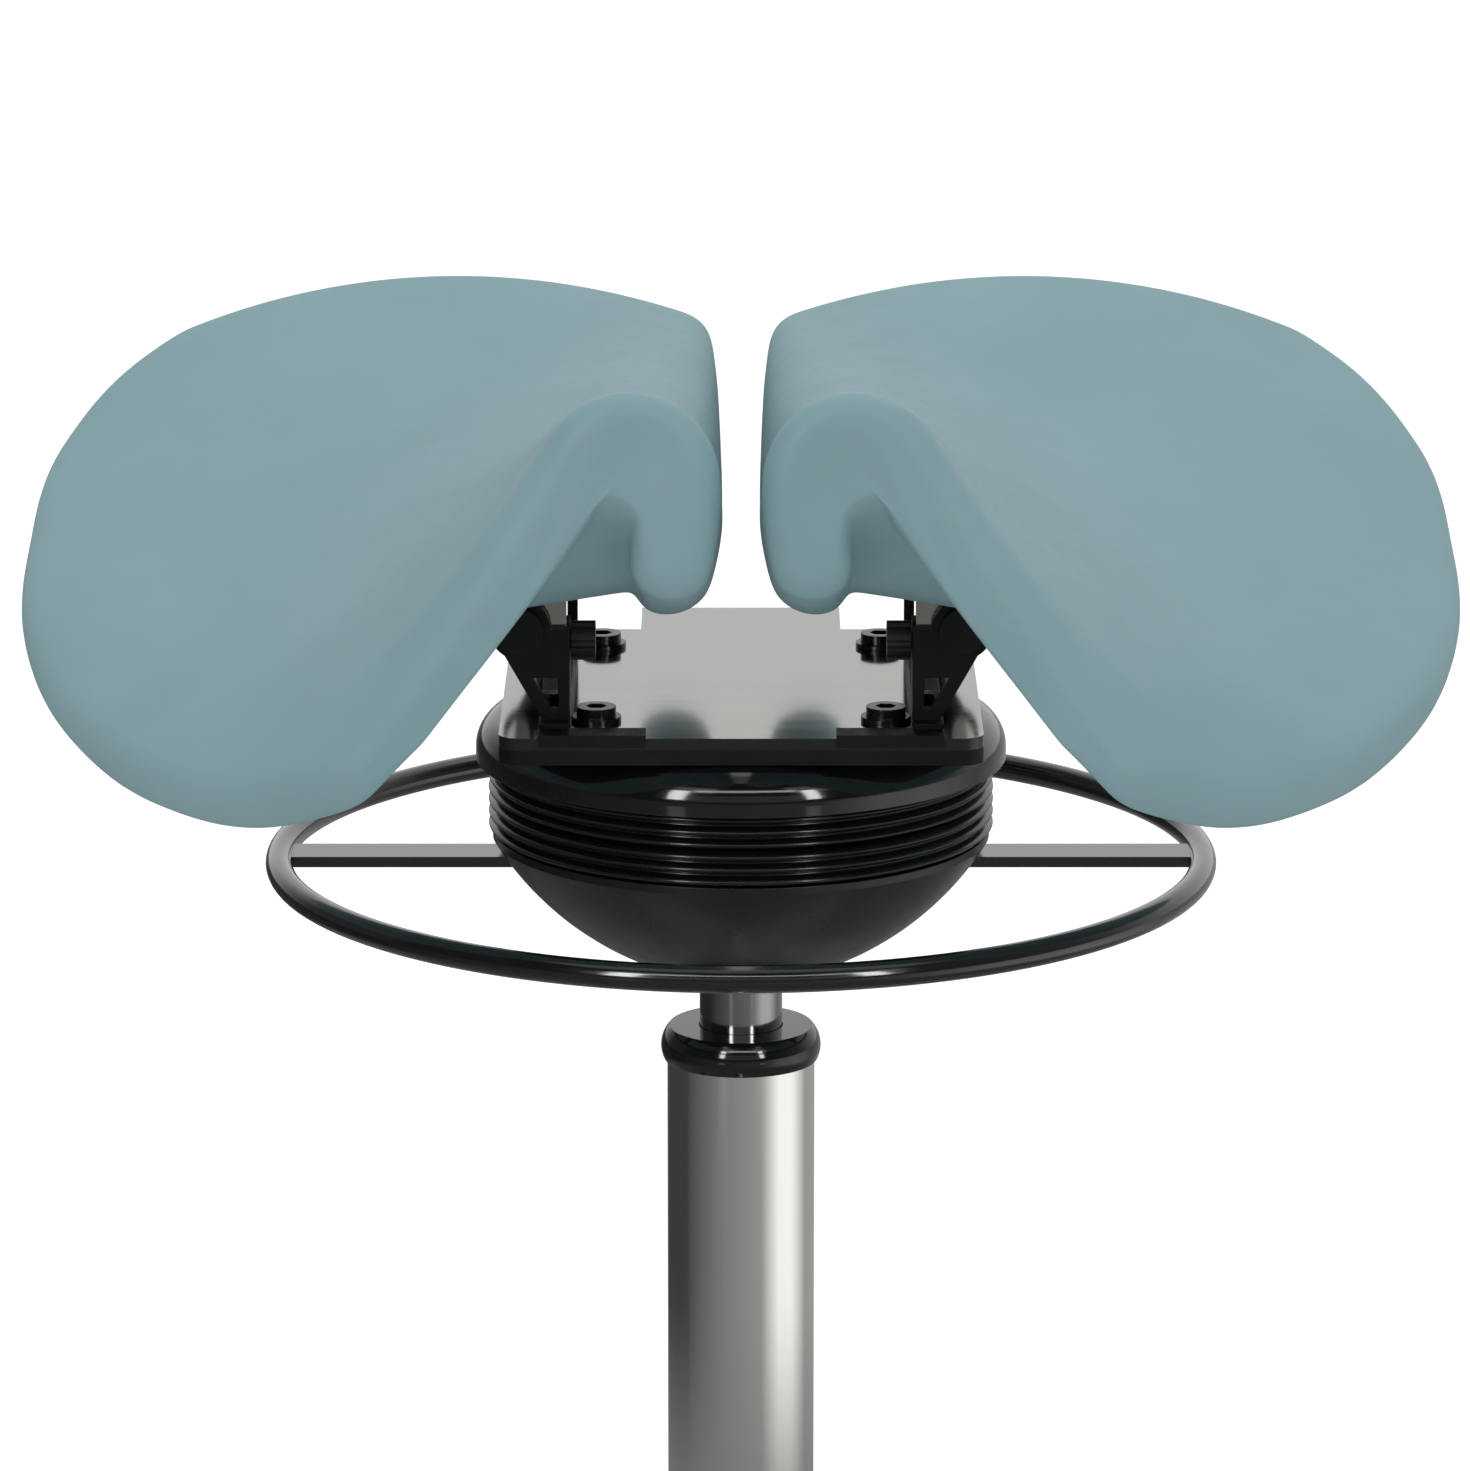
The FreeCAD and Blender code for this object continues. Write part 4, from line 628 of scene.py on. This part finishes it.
# %% Lines of a section
ACROSS = 44             # points along each side of the slab
THROUGH = 6             # points through its thickness


def arc(centre, radius, first, last, count):
    angles = np.linspace(first, last, count)
    return np.stack((centre[0] + radius * np.cos(angles), centre[1] + radius * np.sin(angles)), 1)


def evenly(points, count):
    """The same line with its points evenly apart."""
    steps = np.linalg.norm(np.diff(points, axis=0), axis=1)
    along = np.concatenate(([0.0], np.cumsum(steps)))
    wanted = np.linspace(0.0, along[-1], count)
    return np.stack([np.interp(wanted, along, points[:, k]) for k in range(2)], 1)


def bulge(first, last, out_way, height, count):
    """Half an ellipse from first to last, standing out by height. Its two ends are left out."""
    middle = (first + last) / 2
    angles = np.linspace(0.0, math.pi, count)[1:-1, None]
    return middle + np.cos(angles) * (first - middle) + np.sin(angles) * height * np.array(out_way)


# %% Section of the pad
PAN_SEAT = 554.0
LEG_THICKNESS = 28.0
TUCK_RADIUS = 4.0       # where the leg meets the underside
EDGE_SHARE = 0.75       # thickness of the wing at its edge, as a share
EDGE_BULGE = 0.42       # how far the outer edge stands out, as a share of its thickness
NOSE_BULGE = 0.7        # how round the foot of the leg is: 1 is half a circle
NOSE_TAPER = 2.4        # how far the gap side draws back at the foot of the leg
NOSE_TAPER_H = 26.0     # height over which it does
WALL_STEPS, FOLD_STEPS, WING_STEPS, LEG_STEPS, TUCK_STEPS = 12, 24, 40, 8, 6


def slab_section(y):
    """Closed loop of (x, z) points: upper side, outer edge, underside and nose."""
    (_, gap, foot, fold_r, fold_h, fold_deg, edge_x, edge_h, thick, under, share) = station_at(y)
    fold = np.array((gap + fold_r, PAN_SEAT + fold_h))
    angle = math.radians(fold_deg)
    heading = np.array((math.sin(angle), -math.cos(angle)))
    start = fold + fold_r * np.array((math.cos(angle), math.sin(angle)))
    chord = np.array((edge_x, PAN_SEAT + edge_h)) - start
    turn = math.atan2(heading[0] * chord[1] - heading[1] * chord[0], heading @ chord)
    radius = np.linalg.norm(chord) / (2 * math.sin(turn))
    centre = start + radius * np.array((-heading[1], heading[0]))
    last = angle + 2 * turn
    reach = -radius
    leg = gap + LEG_THICKNESS
    roof = PAN_SEAT + under
    sole = PAN_SEAT + foot
    rise = np.linspace(sole, fold[1], WALL_STEPS)
    drawn_back = NOSE_TAPER * np.clip(1 - (rise - sole) / NOSE_TAPER_H, 0.0, 1.0)**2
    upper = evenly(np.concatenate((
        np.stack((gap + drawn_back, rise), 1)[:-1],
        arc(fold, fold_r, math.pi, angle, FOLD_STEPS)[:-1],
        arc(centre, reach, angle, last, WING_STEPS))), ACROSS)
    meeting = angle + share * (last - angle)
    under_wing = arc(centre, np.linspace(reach - thick, reach - thick * EDGE_SHARE, WING_STEPS),
                     meeting, last, WING_STEPS)
    tuck_r = float(np.clip(roof - sole, 0.0, TUCK_RADIUS))
    tuck = (leg + tuck_r, roof - tuck_r)
    lower = evenly(np.concatenate((
        np.stack((np.full(LEG_STEPS, leg), np.linspace(min(sole, roof), tuck[1], LEG_STEPS)), 1)[:-1],
        arc(tuck, tuck_r, math.pi, math.pi / 2, TUCK_STEPS),
        under_wing)), ACROSS)
    edge_thick = np.linalg.norm(upper[-1] - lower[-1])
    edge = bulge(upper[-1], lower[-1], (math.sin(last), -math.cos(last)), EDGE_BULGE * edge_thick, THROUGH)
    nose = bulge(lower[0], upper[0], (0.0, -1.0), NOSE_BULGE * LEG_THICKNESS / 2, THROUGH)
    return np.concatenate((upper, edge, lower[::-1], nose))


section = slab_section(0.0)
print("section:", len(section), "points, width", round(float(np.ptp(section[:, 0])), 1), "mm")

# %% [markdown]
# ### The skin
#
# Rows of quads join the sections. The ends are rounded off by drawing the last few sections in, and
# a grid of quads closes them, because quads bend evenly as cloth. Underneath, a shallow recess keeps
# the foam off the hinge. It could be cut out with a Boolean, but that leaves slivers, so the rows
# over the hinge are lifted instead.

# %% Inset and recess of a section
UNDERSIDE = slice(ACROSS + THROUGH - 2, 2 * ACROSS + THROUGH - 2)
UNDERSIDE_CRISP = 0.25  # share of the edge rounding that the underside gets
CRISP_FADE = 6          # points over which the rounding fades at both ends of the underside
RECESS_X = (34.8, 86.0)
RECESS_HALF = 63.0
RECESS_ROOF = 555.0


def drawn_in(loop, inset, rounding):
    """The loop moved inwards along its own normals, by inset all round and by the edge rounding."""
    ahead = np.roll(loop, -1, 0) - np.roll(loop, 1, 0)
    normal = np.stack((ahead[:, 1], -ahead[:, 0]), 1)
    normal /= np.linalg.norm(normal, axis=1)[:, None]
    share = np.ones(len(loop))
    from_end = np.minimum(np.arange(ACROSS), np.arange(ACROSS)[::-1])
    share[UNDERSIDE] = np.interp(from_end, (0, CRISP_FADE), (1.0, UNDERSIDE_CRISP))
    return loop + (inset + rounding * share)[:, None] * normal


def recessed(loop, y):
    """Lifts the underside over the hinge bracket and the arm, which the pad hides from the front."""
    if abs(y) < RECESS_HALF:
        under = loop[UNDERSIDE]
        over_hinge = (under[:, 0] > RECESS_X[0]) & (under[:, 0] < RECESS_X[1])
        under[over_hinge, 1] = np.maximum(under[over_hinge, 1], RECESS_ROOF)
    return loop


# %% Rows of the skin
ROW_SPACING = 6.0       # between rows of the skin, from front to back
RECESS_WALL = 0.8       # between the two rows on either side of the recess's end walls
END_ROUND = 8.0         # radius of the front and back edges
ROUND_STEPS = 5


def skin_rows():
    """Place of each row of the skin, and how far its edge is rounded off there."""
    front, back = STATIONS[0, 0], STATIONS[-1, 0]
    turns = np.linspace(math.pi / 2, 0.0, ROUND_STEPS)
    ends = [(END_ROUND * (1 - math.sin(turn)), END_ROUND * (1 - math.cos(turn))) for turn in turns]
    half_wall = RECESS_WALL / 2
    walls = [side * RECESS_HALF + step for side in (-1, 1) for step in (-half_wall, half_wall)]
    inner = np.arange(front + END_ROUND, back - END_ROUND, ROW_SPACING)[1:-1]
    inner = sorted([y for y in inner if min(abs(y - wall) for wall in walls) > ROW_SPACING / 3] + walls)
    rows = [(front + distance, inset) for distance, inset in ends]
    rows += [(y, 0.0) for y in inner]
    rows += [(back - distance, inset) for distance, inset in reversed(ends)]
    return rows


print("skin:", len(skin_rows()), "rows from front to back")

# %% Ends of the skin
def end_cap(loop_start, loop, y, points, faces, front):
    """Closes an end of the skin with a grid of quads across the slab's thickness."""
    upper = [loop_start + i for i in range(ACROSS)]
    edge = [loop_start + ACROSS + k for k in range(THROUGH - 2)]
    lower = [loop_start + 2 * ACROSS + THROUGH - 3 - i for i in range(ACROSS)]
    nose = [loop_start + 2 * ACROSS + THROUGH - 2 + k for k in range(THROUGH - 2)]
    columns = [[upper[0], *reversed(nose), lower[0]]]
    for i in range(1, ACROSS - 1):
        first, last = loop[upper[i] - loop_start], loop[lower[i] - loop_start]
        column = [upper[i]]
        for j in range(1, THROUGH - 1):
            x, z = first + (last - first) * j / (THROUGH - 1)
            column.append(len(points))
            points.append((x, y, z))
        columns.append([*column, lower[i]])
    columns.append([upper[-1], *edge, lower[-1]])
    for here, there in zip(columns, columns[1:]):
        for j in range(THROUGH - 1):
            quad = (here[j], there[j], there[j + 1], here[j + 1])
            faces.append(quad if front else quad[::-1])


# %% Skin of the pad
UNDERSIZE = 0.5         # how much smaller the slab starts than the finished pad


def tube_faces(rows, count, closed=False):
    """Quads that join rows of count points each, and the last row to the first if closed."""
    faces = []
    for row in range(rows if closed else rows - 1):
        a, b = row * count, (row + 1) % rows * count
        faces += [(a + k, b + k, b + (k + 1) % count, a + (k + 1) % count) for k in range(count)]
    return faces


def new_piece(name, points, faces):
    """Smooth mesh piece from points in millimetres."""
    mesh = bpy.data.meshes.new(name)
    mesh.from_pydata([(x * MM, y * MM, z * MM) for x, y, z in points], [], faces)
    mesh.polygons.foreach_set("use_smooth", [True] * len(faces))
    piece = bpy.data.objects.new(name, mesh)
    scene.collection.objects.link(piece)
    return piece


def pad_skin(name, side):
    """Closed skin of one half of the seat. Side is 1 for the right half and -1 for the left."""
    rows = skin_rows()
    loops = [recessed(drawn_in(slab_section(y), UNDERSIZE, rounding), y) for y, rounding in rows]
    points = [(x, y, z) for (y, _), loop in zip(rows, loops) for x, z in loop]
    count = len(loops[0])
    faces = tube_faces(len(rows), count)
    end_cap(0, loops[0], rows[0][0], points, faces, True)
    end_cap((len(rows) - 1) * count, loops[-1], rows[-1][0], points, faces, False)
    piece = new_piece(name, [(side * x, y, z) for x, y, z in points], faces)
    tidy = bmesh.new()
    tidy.from_mesh(piece.data)
    bmesh.ops.recalc_face_normals(tidy, faces=tidy.faces)
    tidy.to_mesh(piece.data)
    tidy.free()
    return piece


# %% [markdown]
# ### Blowing the cover up
#
# A cover that is pulled tight over foam swells a little on its faces and draws in at its edges.
# Moving the points by a formula would do the same everywhere. A short cloth simulation with air
# inside finds where the cover gives: the underside is stapled to the pan and stays, and the rest
# swells. The travel is then eased to a limit, so that the pad keeps the size it has in CAD.

# %% Blow the cover up as cloth
PRESSURE = 1.0
STIFFNESS = 200.0
BENDING = 2.0
COVER_MASS = 0.3
CLOTH_QUALITY = 6
CLOTH_FRAMES = 20
COVER_TRAVEL = 2.0      # most that a face of the cover may swell
EDGE_PULL = 0.8         # most that an edge of it may be drawn in
STAPLED_X = (34.0, 95.0)
STAPLED_HALF = 70.0


def stapled_points(piece):
    """Points of the underside that the pan holds still."""
    near, far = (value * MM for value in STAPLED_X)
    held = []
    for vertex in piece.data.vertices:
        x, y = abs(vertex.co.x), abs(vertex.co.y)
        if near < x < far and y < STAPLED_HALF * MM and vertex.normal.z < 0.0:
            held.append(vertex.index)
    return held


def blow_up(piece):
    """Runs a short cloth simulation with air inside, and keeps its travel along the normals, eased."""
    start = np.array([vertex.co for vertex in piece.data.vertices])
    outward = np.array([vertex.normal for vertex in piece.data.vertices])
    group = piece.vertex_groups.new(name="stapled")
    group.add(stapled_points(piece), 1.0, "REPLACE")
    cloth = piece.modifiers.new("cover", "CLOTH")
    settings = cloth.settings
    settings.quality = CLOTH_QUALITY
    settings.mass = COVER_MASS
    settings.tension_stiffness = STIFFNESS
    settings.compression_stiffness = STIFFNESS
    settings.shear_stiffness = STIFFNESS / 2
    settings.bending_stiffness = BENDING
    settings.use_pressure = True
    settings.uniform_pressure_force = PRESSURE
    settings.effector_weights.gravity = 0.0
    settings.vertex_group_mass = group.name
    cloth.collision_settings.use_collision = False
    cloth.collision_settings.use_self_collision = False
    for step in range(1, CLOTH_FRAMES + 1):
        scene.frame_set(step)
    shown = piece.evaluated_get(bpy.context.evaluated_depsgraph_get())
    moved = np.array([vertex.co for vertex in shown.data.vertices])
    travel = ((moved - start) * outward).sum(1) / MM
    limit = np.where(travel > 0.0, COVER_TRAVEL, EDGE_PULL)
    eased = limit * np.tanh(travel / limit)
    piece.modifiers.remove(cloth)
    piece.vertex_groups.remove(group)
    piece.data.vertices.foreach_set("co", (start + outward * eased[:, None] * MM).ravel())
    piece.data.update()
    scene.frame_set(1)
    return float(eased.mean()), float(eased.max())


# %% Make both pads
for side_name, side in (("left", -1), ("right", 1)):
    pad = pad_skin(side_name + "_pad_cover", side)
    mean_travel, most_travel = blow_up(pad)
    print(pad.name, "cloth moved", round(mean_travel, 2), "mm on average,",
          round(most_travel, 2), "at most")
    smooth = pad.modifiers.new("smooth_cover", "SUBSURF")
    smooth.levels = 1
    smooth.render_levels = 2
    pad.data.materials.append(upholstery)
    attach(pad, side_name + "_half")
    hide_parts(side_name + "_seat_pad")
    print(pad.name, len(pad.data.polygons), "quads")

# %% [markdown]
# ## The bellows and the rubber inside it
#
# The ribbed skin between bowl and cover is one rubber moulding that gives in two directions. A piece
# can bend across one joint only, so it is made as two rings that meet at a valley. The rubber spring
# inside is split in the same way. Both are turned shapes, so a profile is spun round the column's axis.

# %% Turned shapes
AROUND = 128


def turned(name, profile):
    """Spins a closed profile of (radius, height) in millimetres round the column's axis."""
    points = []
    for step in range(AROUND):
        angle = 2 * math.pi * step / AROUND
        points += [(r * math.cos(angle), r * math.sin(angle), z) for r, z in profile]
    return new_piece(name, points, tube_faces(AROUND, len(profile), closed=True))


# %% Bellows
BELLOWS_FOOT = 458.5
BELLOWS_HEAD = 483.5
RIBS = 6
VALLEY_R = 81.6
CREST_R = 84.8
CREST_WIDTH = 0.6       # below 1 the crests are wide and the valleys tight
BELLOWS_BORE = 79.6
RIB_POINTS = 10


def rib_radius(share):
    """Radius of the skin at a share of its height: rounded crests and tighter valleys."""
    wave = 0.5 - 0.5 * math.cos(2 * math.pi * RIBS * share)
    return VALLEY_R + (CREST_R - VALLEY_R) * wave**CREST_WIDTH


def bellows_profile(first, last):
    """Closed profile of the skin between two shares of its height."""
    steps = round((last - first) * RIBS * RIB_POINTS)
    shares = np.linspace(first, last, steps + 1)
    rise = BELLOWS_HEAD - BELLOWS_FOOT
    outside = [(rib_radius(share), BELLOWS_FOOT + rise * share) for share in shares]
    inside = [(BELLOWS_BORE, z) for _, z in reversed(outside)]
    return outside + inside


half_height = (BELLOWS_FOOT + BELLOWS_HEAD) / 2
for name, shares, bodies, heights in (
        ("bellows_lower", (0.0, 0.5), ("lift", "cross"), (BELLOWS_FOOT, half_height)),
        ("bellows_upper", (0.5, 1.0), ("cross", "frame"), (half_height, BELLOWS_HEAD))):
    skin = turned(name, bellows_profile(*shares))
    skin.data.materials.append(rubber_black)
    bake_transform(skin)
    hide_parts("bellows")
    print(name, "bends from", bodies[0], "to", bodies[1])

# %% [markdown]
# ### The rubber spring
#
# A thick ring of rubber brings the swing unit back to the middle. Bonded rubber draws in at its waist
# when it is moulded. A plain ring would show no such waist, so each profile follows half a sine from
# foot to head.

# %% Rubber spring
RUBBER_IN_R, RUBBER_OUT_R = 44.0, 59.0
RUBBER_FOOT, RUBBER_HEAD = 466.3, 496.2
RUBBER_WAIST = 3.0
RUBBER_ROWS = 9

middle_z = (RUBBER_FOOT + RUBBER_HEAD) / 2
for name, ends, bodies in (
        ("swing_rubber_lower", (RUBBER_FOOT, middle_z), ("lift", "cross")),
        ("swing_rubber_upper", (middle_z, RUBBER_HEAD), ("cross", "frame"))):
    heights = np.linspace(*ends, RUBBER_ROWS)
    waists = RUBBER_WAIST * np.sin(math.pi * (heights - RUBBER_FOOT) / (RUBBER_HEAD - RUBBER_FOOT))
    outside = [(RUBBER_OUT_R - waist, z) for waist, z in zip(waists, heights)]
    inside = [(RUBBER_IN_R + waist, z) for waist, z in zip(waists, heights)]
    ring = turned(name, outside + inside[::-1])
    ring.data.materials.append(rubber_black)
    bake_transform(ring)
    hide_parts("swing_rubber")
    print(name, "bends from", bodies[0], "to", bodies[1])

# %% [markdown]
# ## The spring under the ring
#
# A coil spring inside the bowl lifts the height ring after it is pressed. CAD has a plain sleeve in
# its place. A coil is a circle swept along a helix, with its end turns lying flat. A bevelled curve
# could be the wire, but rows of points are exact and need no conversion.

# %% Coil spring
COIL_R = 25.16
COIL_FOOT, COIL_HEAD = 414.0, 428.0
COIL_TURNS = 5
FLAT_TURNS = 0.75       # how much of each end lies flat
WIRE_R = 0.78
WIRE_SIDES = 8
STEPS_PER_TURN = 36

steps = COIL_TURNS * STEPS_PER_TURN
coil_height = COIL_HEAD - COIL_FOOT
wire_points = []
for step in range(steps + 1):
    angle = 2 * math.pi * step / STEPS_PER_TURN
    share = np.clip((step / STEPS_PER_TURN - FLAT_TURNS) / (COIL_TURNS - 2 * FLAT_TURNS), 0.0, 1.0)
    z = COIL_FOOT + WIRE_R + share * (coil_height - 2 * WIRE_R)
    for side in range(WIRE_SIDES):
        turn = 2 * math.pi * side / WIRE_SIDES
        r = COIL_R + WIRE_R * math.cos(turn)
        wire_points.append((r * math.cos(angle), r * math.sin(angle), z + WIRE_R * math.sin(turn)))
wire_faces = tube_faces(steps + 1, WIRE_SIDES)
wire_faces.append(tuple(range(WIRE_SIDES)))
wire_faces.append(tuple(reversed(range(steps * WIRE_SIDES, (steps + 1) * WIRE_SIDES))))
coil = new_piece("ring_coil_spring", wire_points, wire_faces)
coil.data.materials.append(plain_steel)
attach(coil, "lift")
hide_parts("ring_return_spring")
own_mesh(coil)
print("coil spring:", COIL_TURNS, "turns")
